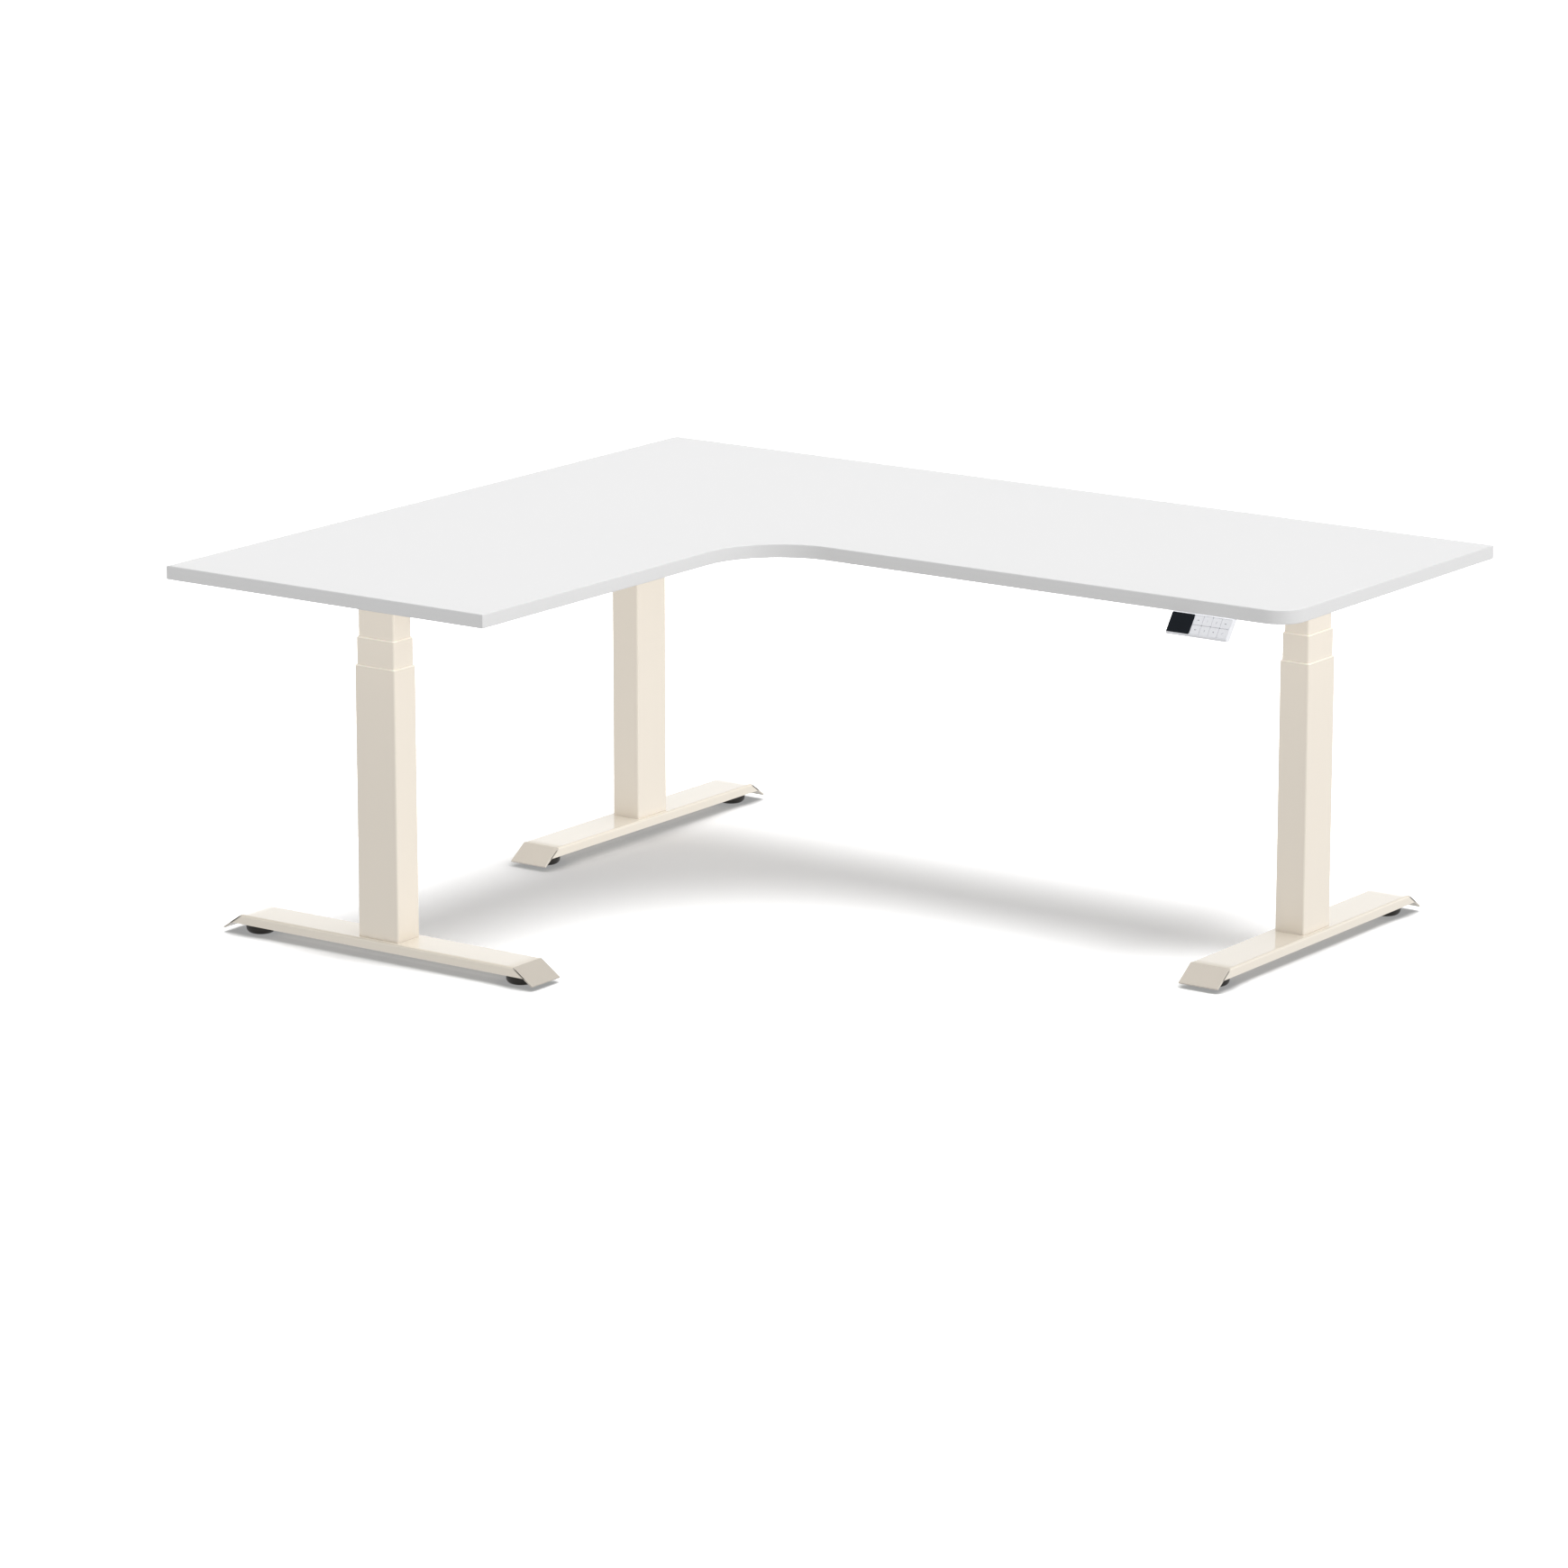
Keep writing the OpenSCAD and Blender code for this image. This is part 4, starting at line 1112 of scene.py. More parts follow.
@dataclass
class Columns(SubAssembly):
    """Three nested tubes a leg, with a liner in the upper end of the two outer ones."""

    wall: float = 1.5
    corner_radius: float = 4.0
    deburr: float = 0.25
    rim_h: float = 2.4
    skirt_l: float = 30.0
    bore_inset: float = 2.38

    def tube(self, leg: Leg, stage: str) -> Shell:
        """Rectangular tube whose wall is carried up the outside and down the inside, with
        its cut ends deburred.

        Args:
            leg: The leg.
            stage: Which tube, outer, middle or inner.

        Returns:
            The tube in the desk's frame.
        """
        low, high, width, length = node_sides(f"{leg.label}_{stage}_tube")
        d, r, w, bottom, top = self.deburr, self.corner_radius, self.wall, low[2], high[2]
        outside = [[d, r - d, bottom], [0, r, bottom + d], [0, r, top - d], [d, r - d, top]]
        inside = [
            [w - d, r - w + d, top], [w, r - w, top - d],
            [w, r - w, bottom + d], [w - d, r - w + d, bottom],
        ]
        rings = rounded_rings(length, width, np.array(outside + inside), steps=8)
        return leg.put(loft(rings, hollow=True))

    def glide(self, leg: Leg, stage: str) -> Shell:
        """Liner of a tube: a sloping rim on its end and a skirt down inside.

        Args:
            leg: The leg.
            stage: Tube that it lines, outer or middle.

        Returns:
            The liner in the desk's frame.
        """
        _, high, width, length = node_sides(f"{leg.label}_{stage}_tube")
        seat, top = high[2], high[2] + self.rim_h
        r, w, b = self.corner_radius, self.wall, self.bore_inset
        foot = top - self.rim_h - self.skirt_l
        skirt = [[w, r - w, foot], [w, r - w, seat]]
        edge = [[0, r, seat], [0, r, seat + 0.6], [0.1, r - 0.1, seat + 0.8]]
        slope = [[1.7, r - 1.2, top - 0.1], [1.9, r - 0.6, top]]
        bore = [[b - 0.15, r, top - 0.05], [b, r, top - 0.3], [b, r, foot]]
        rings = rounded_rings(length, width, np.array(skirt + edge + slope + bore), steps=8)
        return leg.put(loft(rings, hollow=True))

    def pieces(self) -> list[Piece]:
        """Returns the tubes and the liners."""
        bodies = {"outer": "base", "middle": "{}_middle_stage", "inner": "top"}
        made = [
            Piece(
                f"{leg.label}_{stage}_column", self.tube(leg, stage), (CREAM_POWDER,),
                body.format(leg.label), (f"{leg.label}_{stage}_tube",),
            )
            for leg in Leg
            for stage, body in bodies.items()
        ]
        made += [
            Piece(
                f"{leg.label}_middle_liner", self.glide(leg, "middle"), (WHITE_NYLON,),
                f"{leg.label}_middle_stage", (f"{leg.label}_middle_glide",),
            )
            for leg in Leg
        ]
        liners = joined([self.glide(leg, "outer") for leg in Leg])
        return made + [Piece("outer_liners", liners, (WHITE_NYLON,), "base", ("outer_glides",))]


@dataclass
class ScrewDrives(SubAssembly):
    """Threaded screws of the legs; nuts, tubes and motors keep their CAD shape."""

    lead: float = 10.0
    thread_h: float = 0.9
    flank: float = 1.6
    flat_root: float = 0.3
    run_out: float = 2.0
    hollow_r: float = 9.0
    bore_r: float = 6.6
    collar_r: float = 12.2
    collar_h: float = 11.4
    drive_r: float = 6.0
    washer_r: float = 10.0
    washer_h: float = 4.4
    neck_l: float = 17.7
    end_r: float = 5.2
    bevel: float = 0.8
    columns: int = 20
    rows_a_turn: int = 8

    def threaded(self, radius: float, low: float, high: float, bore: float) -> Shell:
        """Round thread of two starts: r - h + h (1 - |2 ((2 z / lead - a / pi) mod 1) - 1|),
        held to a flat crest and root, with (r cos a, r sin a, z) as its points.

        Args:
            radius: Radius over the crests.
            low: Height of the lower end.
            high: Height of the upper end.
            bore: Radius of a bore through the screw, or 0.

        Returns:
            A closed shell on the Z axis.
        """
        rows = int((high - low) / self.lead * 2 * self.rows_a_turn)
        z = np.linspace(low, high, rows)[:, None]
        turn = full_turn(self.columns)
        phase = (2 * z / self.lead - turn / math.pi) % 1.0
        tooth = np.clip(self.flank * (1 - np.abs(2 * phase - 1)) - self.flat_root, 0, 1)
        fade = np.clip(np.minimum(z - low, high - z) / self.run_out, 0, 1)
        rings = polar_rings(radius - self.thread_h * (1 - tooth * fade), z, turn)
        if bore:
            wall = polar_rings(np.full((2, 1), bore), np.array([[high], [low]]), turn)
            rings = np.concatenate([rings, wall])
        return loft(rings, hollow=bool(bore))

    def hollow_screw(self, node: str) -> Shell:
        """Threaded tube with a bevelled collar at its upper end.

        Args:
            node: CAD node of the screw.

        Returns:
            The screw on the Z axis.
        """
        low, high = node_box(node)
        bore, r, top, seat = self.bore_r, self.collar_r, high[2], high[2] - self.collar_h
        collar = [[bore, seat], [r - 0.2, seat], [r, seat + 0.2],
                  [r, top - 0.2], [r - 0.2, top], [bore, top]]
        tube = self.threaded(self.hollow_r, low[2], seat - 0.1, bore)
        return joined([tube, revolved(collar, 40, hollow=True)])

    def drive_screw(self, node: str) -> Shell:
        """Threaded rod with a washer on its plain neck.

        Args:
            node: CAD node of the screw.

        Returns:
            The screw on the Z axis.
        """
        low, high = node_box(node)
        r, wide, top, neck = self.drive_r, self.washer_r, high[2], high[2] - self.neck_l
        seat, step = neck + self.bevel + 0.01, neck + self.washer_h
        rod = [[self.end_r, neck], [r, neck + self.bevel], [r, seat], [wide, seat],
               [wide, step], [r, step], [r, top - self.bevel], [self.end_r, top]]
        return joined([self.threaded(r, low[2], neck, 0.0), revolved(rod, 32)])

    def pieces(self) -> list[Piece]:
        """Returns the hollow screws and the drive screws."""
        made = []
        for leg in Leg:
            hollow, drive = f"{leg.label}_hollow_screw", f"{leg.label}_drive_screw"
            shells = {hollow: self.hollow_screw(hollow), drive: self.drive_screw(drive)}
            for node, shell in shells.items():
                made.append(Piece(f"{node}_thread", leg.put(shell), (ROLLED_STEEL,), node, (node,)))
        return made

    def kept(self) -> dict[str, Finish]:
        """Returns the finishes of the nuts, the standing tubes and the motors."""
        nuts = {f"{leg.label}_nut_tube": MILKY_ACETAL for leg in Leg}
        return {**nuts, "lower_nut_tubes": DRAWN_STEEL, "motors": DRAWN_STEEL}


# turn from one wood screw's recess to the next one's, so that no two stand alike
SCREW_TURN = 37.0


@dataclass
class UnderFrame(SubAssembly):
    """Arms on the legs, beams between them, joining plates, screws and bolts."""

    sheet: float = 3.0
    bend_radius: float = 4.0
    worn: float = 0.3
    root: float = 90.0
    tip_h: float = 12.0
    beam_w: float = 60.0
    beam_h: float = 30.0
    beam_wall: float = 1.5
    beam_radius: float = 3.0
    plate_t: float = 4.0
    plate_l: float = 130.0
    bolt_x: float = 56.0
    nut_r: float = 5.5
    nut_h: float = 5.0
    arm_screws: tuple[float, ...] = (-250.0, -150.0, 150.0, 250.0)
    join_x: tuple[float, ...] = (-820.0, -690.0, -410.0, -280.0)
    join_screws: tuple[float, ...] = (-45.0, -20.0, 20.0, 45.0)
    join_size: tuple[float, float, float] = (40.0, 120.0, 2.5)
    box_screws: tuple[float, float] = (137.5, 38.0)
    handset_screws: tuple[float, float] = (42.0, 10.0)
    ear_t: float = 2.0
    screw: Screw = Screw(4.2, 2.4, 2.0, 18.0, Drive.CROSS, 2.6, 1.3)
    bolt: Screw = Screw(5.0, 4.0, 3.0, 14.0, Drive.HEX, 2.0, 2.2)

    def arm(self, leg: Leg) -> Shell:
        """Folded channel, deep over the column and tapering to its ends.

        Args:
            leg: The leg below it.

        Returns:
            The arm in the desk's frame.
        """
        low, high, width, length = node_sides(f"{leg.label}_head")
        half = length / 2
        x = np.concatenate([np.linspace(-half, -self.root, 12), np.linspace(self.root, half, 12)])
        share = np.clip((half - np.abs(x)) / (half - self.root), 0, 1)
        depth = self.tip_h + (high[2] - low[2] - self.tip_h) * share
        reach = np.column_stack([x, 0 * x])
        return leg.put(channel(width, self.bend_radius, self.sheet, high[2], depth, reach))

    def beam(self, name: str, along: Array) -> Shell:
        """Rectangular tube with a plate at each end, carried along X and turned.

        Args:
            name: CAD node of the beam.
            along: Rotation that turns X to the beam's own direction.

        Returns:
            The beam in the desk's frame.
        """
        low, high = node_box(name)
        middle = (low + high) / 2
        half = np.abs(along.T @ (high - low))[0] / 2
        w, t, r = self.beam_wall, self.plate_t, self.beam_radius
        stack = [[0, r, t - half], [0, r, half - t], [w, r - w, half - t], [w, r - w, t - half]]
        tube = loft(rounded_rings(self.beam_w, self.beam_h, np.array(stack)), hollow=True)
        plate = slab(self.plate_l, self.beam_h - 2, 0.0, t, r, 0.5).placed(axes=ALONG_X)
        ends = [plate.placed((-half, 0, 0)), plate.placed((half - t, 0, 0))]
        return joined([tube.placed(axes=ALONG_X), *ends]).placed(middle, along)

    def wood_screws(self) -> Shell:
        """Returns every wood screw, head down, at the seat of its head."""
        _, seam, under = node_box("main_board")[0]
        box_x, box_y, _ = middle_below(*node_box("control_box_plate"))
        case_low, case_high = node_box("handset_case")
        case_x = (case_low[0] + case_high[0]) / 2
        join_z, flange_z = under - self.join_size[2], under - self.ear_t
        (dx, dy), (reach, forward) = self.box_screws, self.handset_screws
        places = [(*leg.point(s, 0), under - self.sheet) for leg in Leg for s in self.arm_screws]
        places += [(x, seam + s, join_z) for x in self.join_x for s in self.join_screws]
        places += [(box_x + sx * dx, box_y + sy * dy, flange_z) for sx in (-1, 1) for sy in (-1, 1)]
        places += [(case_x + s * reach, case_high[1] - forward, flange_z) for s in (-1, 1)]
        screw, turns = self.screw.shell(), SCREW_TURN * np.arange(len(places))
        return joined([screw.placed(place, turn_z(turn)) for place, turn in zip(places, turns)])

    def bolts(self) -> Shell:
        """Returns the bolts of the arms and beams with their nuts, lying along Y."""
        height = node_box("right_head")[1][2] - self.beam_h / 2
        bolt = self.bolt.shell().placed(axes=turn_x(-90))
        hexagon = on_circle(full_turn(6)) * self.nut_r
        rings = inset_rings(hexagon, soft_stack(0.0, self.nut_h, 0.6, 2))
        nut = loft(rings).placed(axes=turn_x(-90))
        web = self.beam_w / 2 - self.sheet
        pair = joined([bolt, nut.placed((0, self.sheet + self.plate_t, 0))])
        places = [(s * self.bolt_x, web, height) for s in (-1, 1)]
        made = [leg.put(pair.placed(place)) for leg in Leg for place in places]
        end = node_box("return_beam")[1][1]
        x = Leg.RETURN.origin()[0]
        made += [bolt.placed((x + s * self.bolt_x, end - self.plate_t, height)) for s in (-1, 1)]
        return joined(made)

    def pieces(self) -> list[Piece]:
        """Returns the arms, beams, joining plates and fasteners."""
        _, seam, under = node_box("main_board")[0]
        width, length, t = self.join_size
        plate = slab(width, length, under - t, under, 6.0, 0.4)
        plates = joined([plate.placed((x, seam, 0)) for x in self.join_x])
        screws = joined([self.wood_screws(), self.bolts()])
        paint, zinc = (CREAM_POWDER,), (BRIGHT_ZINC,)
        across = self.beam("return_beam", turn_z(90))
        made = []
        for leg in Leg:
            head = (f"{leg.label}_head",)
            made.append(Piece(f"{leg.label}_arm", self.arm(leg), paint, "top", head, self.worn))
        return [
            *made,
            Piece("long_beam", self.beam("main_beam", np.eye(3)), paint, "top", ("main_beam",)),
            Piece("return_wing_beam", across, paint, "top", ("return_beam",)),
            Piece("seam_plates", plates, zinc, "top", ("joining_plates",)),
            Piece("frame_screws", screws, zinc, "top", ("frame_fasteners",)),
        ]


@dataclass
class ControlBox(SubAssembly):
    """Control box under the top, with its leads and clips."""

    wall: float = 2.0
    corner_radius: float = 5.0
    edge: float = 2.5
    ribs: int = 18
    rib_w: float = 2.4
    rib_l: float = 62.0
    rib_h: float = 0.8
    rib_pitch: float = 6.0
    rib_start: float = 22.0
    lead_r: float = 2.5
    lead_bend: float = 12.0
    lead_drop: float = 9.0
    motor_reach: float = 9.0
    row_out: float = 100.0
    row_gap: float = 25.0
    handset_inset: float = 11.0
    boot_l: float = 24.0
    boot_rings: int = 17
    boot_flare: tuple[float, float] = (0.2, 1.6)
    ring_h: float = 0.35
    clip_l: float = 10.0
    clip_w: float = 9.0
    first_row_clips: tuple[float, ...] = (-580.0, -250.0, 0.0, 560.0)
    second_row_clips: tuple[float, ...] = (460.0, -150.0)
    cross_clips: tuple[float, ...] = (-400.0, -230.0, 60.0, 300.0)
    handset_clips: tuple[float, ...] = (190.0, 310.0)

    def cover(self) -> Shell:
        """Cover with round lower edges and a row of cooling ribs across its lower face.

        Returns:
            The cover in the desk's frame.
        """
        low, high = node_box("control_box_cover")
        length, width = (high - low)[:2]
        r, w, middle = self.corner_radius, self.wall, middle_below(low, high)
        inset, rise = self.edge * (1 - np.sin(QUARTER)), self.edge * (1 - np.cos(QUARTER))
        outside = np.column_stack([inset, r - inset, low[2] + rise])
        inside = [[0, r, high[2]], [w, r - w, high[2]], [w, r - w, low[2] + w]]
        shell = loft(rounded_rings(length, width, np.vstack([outside, inside]))).placed(middle)
        rib = slab(self.rib_w, self.rib_l, low[2] - self.rib_h, low[2] + 0.5, 1.1, 0.5)
        start = middle - [length / 2 - self.rib_start, 0, 0]
        ribs = [rib.placed(start + [self.rib_pitch * n, 0, 0]) for n in range(self.ribs)]
        return joined([shell, *ribs])

    def plate(self) -> Shell:
        """Returns the base plate with its two ears."""
        low, high = node_box("control_box_plate")
        length, width = (high - low)[:2]
        plate = slab(length, width, low[2], high[2], self.corner_radius, 0.5)
        return plate.placed(middle_below(low, high))

    def lead_z(self) -> float:
        """Height of the middle of every lead."""
        return node_box("main_board")[0][2] - self.lead_drop

    def routes(self) -> list[list[tuple[float, float]]]:
        """Returns the corners of each lead's route, as x and y, its box end last."""
        low, high = node_box("control_box_cover")
        left, right = low[0] + self.wall, high[0] - self.wall
        (corner_x, corner_y), (far_x, far_y), (side_x, side_y) = (leg.point(0, 0) for leg in Leg)
        case_low, case_high = node_box("handset_case")
        start, handset_x = self.motor_reach, case_low[0] + self.handset_inset
        first, across = corner_y + self.row_out, side_x + self.row_out
        second = first - self.row_gap
        return [
            [(corner_x, corner_y + start), (corner_x, first), (left, first)],
            [(far_x, far_y + start), (far_x, first), (right, first)],
            [(side_x + start, side_y), (across, side_y), (across, second), (left, second)],
            [(handset_x, case_high[1] - self.wall), (handset_x, second), (right, second)],
        ]

    def leads(self) -> Shell:
        """Leads with a tapered boot of rings where each enters the box, 1 mm inside it.

        Returns:
            The leads in the desk's frame.
        """
        rings = self.boot_rings
        along = np.linspace(0, self.boot_l, rings)[::-1, None] - 1.0
        flare = np.linspace(*self.boot_flare, rings) + self.ring_h * (np.arange(rings) % 2)
        made = []
        for route in self.routes():
            path = round_path(route, self.lead_z(), self.lead_bend)
            towards = path[-1] - path[-2]
            towards /= np.linalg.norm(towards)
            boot = swept(path[-1] - towards * along, self.lead_r + flare, 20)
            made += [swept(path, self.lead_r), boot]
        return joined(made)

    def clips(self) -> Shell:
        """Saddle clips: an arch as wide as the clip, standing on the board, carried along
        the lead with its edges rounded.

        Returns:
            The clips in the desk's frame.
        """
        routes, height = self.routes(), self.lead_z()
        first, second = routes[0][-1][1], routes[2][-1][1]
        across, handset_x = routes[2][1][0], routes[3][0][0]
        places = [(x, first, 0) for x in self.first_row_clips]
        places += [(x, second, 0) for x in self.second_row_clips]
        places += [(across, y, 90) for y in self.cross_clips]
        places += [(handset_x, y, 90) for y in self.handset_clips]
        half, drop = self.clip_w / 2, node_box("main_board")[0][2] - height
        bow = half * on_circle(np.linspace(math.pi, 2 * math.pi, 15))
        arch = np.vstack([bow, [[half, drop], [-half, drop]]])
        rings = inset_rings(arch, soft_stack(-self.clip_l / 2, self.clip_l / 2, 0.8))
        clip = loft(rings).placed(axes=ALONG_X)
        return joined([clip.placed((x, y, height), turn_z(a)) for x, y, a in places])

    def pieces(self) -> list[Piece]:
        """Returns the cover, the plate, the leads and the clips."""
        made = (
            ("box_cover", self.cover(), BOX_ABS, "control_box_cover"),
            ("box_plate", self.plate(), BOX_ABS, "control_box_plate"),
            ("motor_and_handset_leads", self.leads(), LEAD_PVC, "control_leads"),
            ("saddle_clips", self.clips(), LEAD_PVC, "lead_clips"),
        )
        return [Piece(name, shell, (finish,), "top", (node,)) for name, shell, finish, node in made]

    def kept(self) -> dict[str, Finish]:
        """Returns the finishes of the inlet and the circuit boards."""
        return {"mains_inlet": BOX_ABS, "circuit_boards": GREEN_LAMINATE}


class Mark(Enum):
    """Generic mark on a key, as bars of x0, y0, x1, y1 and half width."""

    UP = ((-1.5, -0.7, 0.0, 0.9, 0.32), (0.0, 0.9, 1.5, -0.7, 0.32))
    ONE = ((0.0, -1.5, 0.0, 1.5, 0.22), (0.0, 1.5, -0.7, 0.9, 0.22))
    TWO = (
        (-0.8, 1.5, 0.8, 1.5, 0.22), (0.8, 1.5, 0.8, 0.0, 0.22), (0.8, 0.0, -0.8, 0.0, 0.22),
        (-0.8, 0.0, -0.8, -1.5, 0.22), (-0.8, -1.5, 0.8, -1.5, 0.22),
    )
    DASH = ((-1.6, 0.0, 1.6, 0.0, 0.42),)
    DOWN = ((-1.5, 0.7, 0.0, -0.9, 0.32), (0.0, -0.9, 1.5, 0.7, 0.32))
    THREE = (
        (-0.8, 1.5, 0.8, 1.5, 0.22), (0.8, 1.5, 0.8, -1.5, 0.22), (0.8, 0.0, -0.6, 0.0, 0.22),
        (-0.8, -1.5, 0.8, -1.5, 0.22),
    )
    DOT = ((-0.25, 0.0, 0.25, 0.0, 0.75),)
    SLASH = ((-1.3, -1.3, 1.3, 1.3, 0.35),)


@dataclass
class Handset(SubAssembly):
    """Handset under the front edge, with a sloping face, a display and eight keys."""

    face_l: float = 38.7
    tilt: float = 54.35
    pitch: float = 18.0
    key_gap: float = 0.6
    key_t: float = 2.2
    stem_r: float = 2.5
    stem_l: float = 3.0
    keys_x: float = 46.8
    glass_x: float = 0.4
    glass_w: float = 46.0
    glass_l: float = 37.7
    glass_t: float = 1.6
    glass_radius: float = 2.5
    glass_proud: float = 0.3
    edge: float = 0.9
    key_floor: float = 5.9
    lip_z: float = 5.5
    slab_t: float = 12.0
    depth: float = 62.0
    flange_t: float = 2.0
    lead_x: float = 11.0
    sleeve: tuple[float, float, float] = (9.6, 55.0, 13.4)
    ink_step: float = 0.004
    sharp_deg: float = 42.0
    marks: tuple[tuple[Mark, Finish], ...] = (
        (Mark.UP, DARK_INK), (Mark.ONE, PALE_INK), (Mark.TWO, PALE_INK), (Mark.DASH, DARK_INK),
        (Mark.DOWN, DARK_INK), (Mark.THREE, PALE_INK), (Mark.DOT, DARK_INK), (Mark.SLASH, PALE_INK),
    )

    @property
    def keys_y(self) -> float:
        """Place of the keys' upper edge on the face."""
        return -self.face_l / 2 + self.pitch

    def on_face(self, shell: Shell, x: float, y: float) -> Shell:
        """Lays a shell on the sloping face.

        Args:
            shell: Shell drawn with Z out of the face.
            x: Place along the face from the case's left side.
            y: Place up the face from its upper edge, so below 0.

        Returns:
            The shell in the desk's frame.
        """
        low, high = node_box("handset_case")
        corner = np.array([low[0], high[1] - self.depth, high[2]])
        return shell.placed((x, y, 0)).placed(corner, turn_x(self.tilt))

    def case(self) -> Shell:
        """Case: a slab behind the face, with a flange back along the board. Its side
        outline is carried along X, drawn in by edge (1 - sin t) towards both ends. Two
        points of the outline run down into the face where a pocket for the display or
        for the keys is open, and lie flat on it elsewhere. A sleeve under the flange
        takes the lead.

        Returns:
            The case in the desk's frame.
        """
        low, high = node_box("handset_case")
        width = high[0] - low[0]
        c, s = math.cos(math.radians(self.tilt)), math.sin(math.radians(self.tilt))
        foot = np.array([-self.face_l * c, -self.face_l * s])
        lip, under, depth = self.lip_z, -self.flange_t, self.depth
        back_y = self.slab_t / s + np.array([foot[1] - lip, under]) * c / s
        corners = [
            foot + [1, -4], foot + [lip, -lip], [back_y[0], foot[1] - lip], [back_y[1], under],
            [depth, under], [depth, 0], [0, 0], foot,
        ]
        rounded = fillets(corners, [2.0, 2.0, 1.5, 3.0, 0.95, 0.95, 0.95, 1.0])
        face_slots = np.zeros((4, 2))
        outline = np.vstack([rounded[:-5], face_slots, rounded[-5:]])
        slots = slice(len(rounded) - 5, len(rounded) - 1)
        keys_x, keys_y, keys_end = self.keys_x, self.keys_y, self.keys_x + 4 * self.pitch
        r = self.glass_radius
        arc = r * np.array([0.0, 0.1, 0.35, 0.7, 1.0])
        glass_x = self.glass_x + np.concatenate([arc, self.glass_w - arc[::-1]])
        draw = r - np.sqrt(np.maximum(r**2 - (r - arc) ** 2, 0))
        draw = np.concatenate([draw, draw[::-1]])
        round_x, round_in = self.edge * (1 - np.cos(QUARTER)), self.edge * (1 - np.sin(QUARTER))
        # station: x, inset, upper and lower end of the pocket down the face, its depth
        first, last = -0.5 - draw, -self.face_l + 0.5 + draw
        closed = (first[0], last[0], 0.0)
        rows = [(x, i, *closed) for x, i in zip(round_x[:2], round_in[:2])]
        inset_x = np.interp(glass_x, round_x, round_in)
        rows.append((glass_x[0], inset_x[0], *closed))
        rows += [(*row, self.glass_t) for row in zip(glass_x, inset_x, first, last)]
        rows.append((glass_x[-1], 0.0, *closed))
        key_rows = (keys_y, keys_y - 2 * self.pitch)
        rows.append((keys_x, 0.0, *key_rows, 0.0))
        rows += [(x, 0.0, *key_rows, self.key_floor) for x in np.linspace(keys_x, keys_end, 9)]
        rows.append((keys_end, 0.0, *key_rows, 0.0))
        rows += [(width - x, i, *key_rows, 0.0) for x, i in zip(round_x[::-1], round_in[::-1])]
        table = np.array(rows)
        inset = table[:, 1]
        down = np.array([-c, -s])
        into = np.array([s, -c])
        upper, lower, deep = -table[:, 2, None], -table[:, 3, None], table[:, 4, None]
        base = outline.copy()
        base[slots] = np.linspace(0.02, 0.98, 4)[:, None] * (down * self.face_l)
        shift = edge_offsets(base, np.ones(len(base)))
        ring = base[None] + inset[:, None, None] * shift[None]
        skin = inset[:, None] * into
        ring[:, slots] = np.stack([
            upper * down + skin, upper * down + deep * into + skin,
            lower * down + deep * into + skin, lower * down + skin,
        ], axis=1)
        x = np.broadcast_to(table[:, :1, None], ring.shape[:2] + (1,))
        rings = np.concatenate([x, ring], axis=-1)
        wide, long, tall = self.sleeve
        sleeve = slab(wide, long, -tall, -0.3, 3.0, 1.0)
        sleeve = sleeve.placed((self.lead_x, depth - long / 2, 0))
        return joined([loft(rings), sleeve]).placed((low[0], high[1] - depth, high[2]))

    def key(self, number: int) -> Shell:
        """Key cap with soft edges and its stem.

        Args:
            number: Number of the key from 0, row by row.

        Returns:
            The key in the desk's frame.
        """
        size, under, r = self.pitch - self.key_gap, -self.key_t, self.stem_r
        end = under - self.stem_l
        cap = slab(size, size, under, 0.0, 1.2, 0.45)
        stem = revolved([[r - 0.4, end], [r, end + 0.4], [r, under]], 24)
        return self.on_face(joined([cap, stem]), *self.key_centre(number))

    def key_centre(self, number: int) -> tuple[float, float]:
        """Place of a key's middle on the face."""
        column, row = number % 4, number // 4
        return self.keys_x + (column + 0.5) * self.pitch, self.keys_y - (row + 0.5) * self.pitch

    def mark(self, number: int) -> Shell:
        """Mark of a key: a film of ink in bars with round ends, each the points
        end + w (cos a, sin a) about both ends of the bar. Each bar lies a hair above the
        one before, where they cross.

        Args:
            number: Number of the key from 0.

        Returns:
            The mark in the desk's frame.
        """
        bars = []
        for n, (x0, y0, x1, y1, half) in enumerate(self.marks[number][0].value):
            heading = math.atan2(y1 - y0, x1 - x0)
            cap = half * on_circle(np.linspace(-math.pi / 2, math.pi / 2, 7) + heading)
            outline = np.vstack([[x1, y1] + cap, [x0, y0] - cap])
            lift = self.ink_step * n
            film = [[0, -0.05], [0, 0.03 + lift], [0.05, 0.045 + lift]]
            bars.append(loft(inset_rings(outline, film)))
        return self.on_face(joined(bars), *self.key_centre(number))

    def pieces(self) -> list[Piece]:
        """Returns the case, the display, the keys and their marks."""
        thick, proud = self.glass_t, self.glass_proud
        glass = slab(self.glass_w, self.glass_l, -thick, proud, self.glass_radius, 0.28)
        glass = self.on_face(glass, self.glass_x + self.glass_w / 2, -self.face_l / 2)
        made = [
            Piece(
                "handset_shell", self.case(), (HANDSET_ABS,), "top", ("handset_case",),
                sharp_deg=self.sharp_deg,
            ),
            Piece("display_glass", glass, (SMOKED_ACRYLIC,), "top", ("display_window",)),
        ]
        for n in range(8):
            name = f"key_{n + 1}"
            made.append(Piece(f"{name}_cap", self.key(n), (KEY_ABS,), name, (name,)))
            made.append(Piece(f"{name}_mark", self.mark(n), (self.marks[n][1],), name))
        return made


# ------------------------------------------------------------------ studio


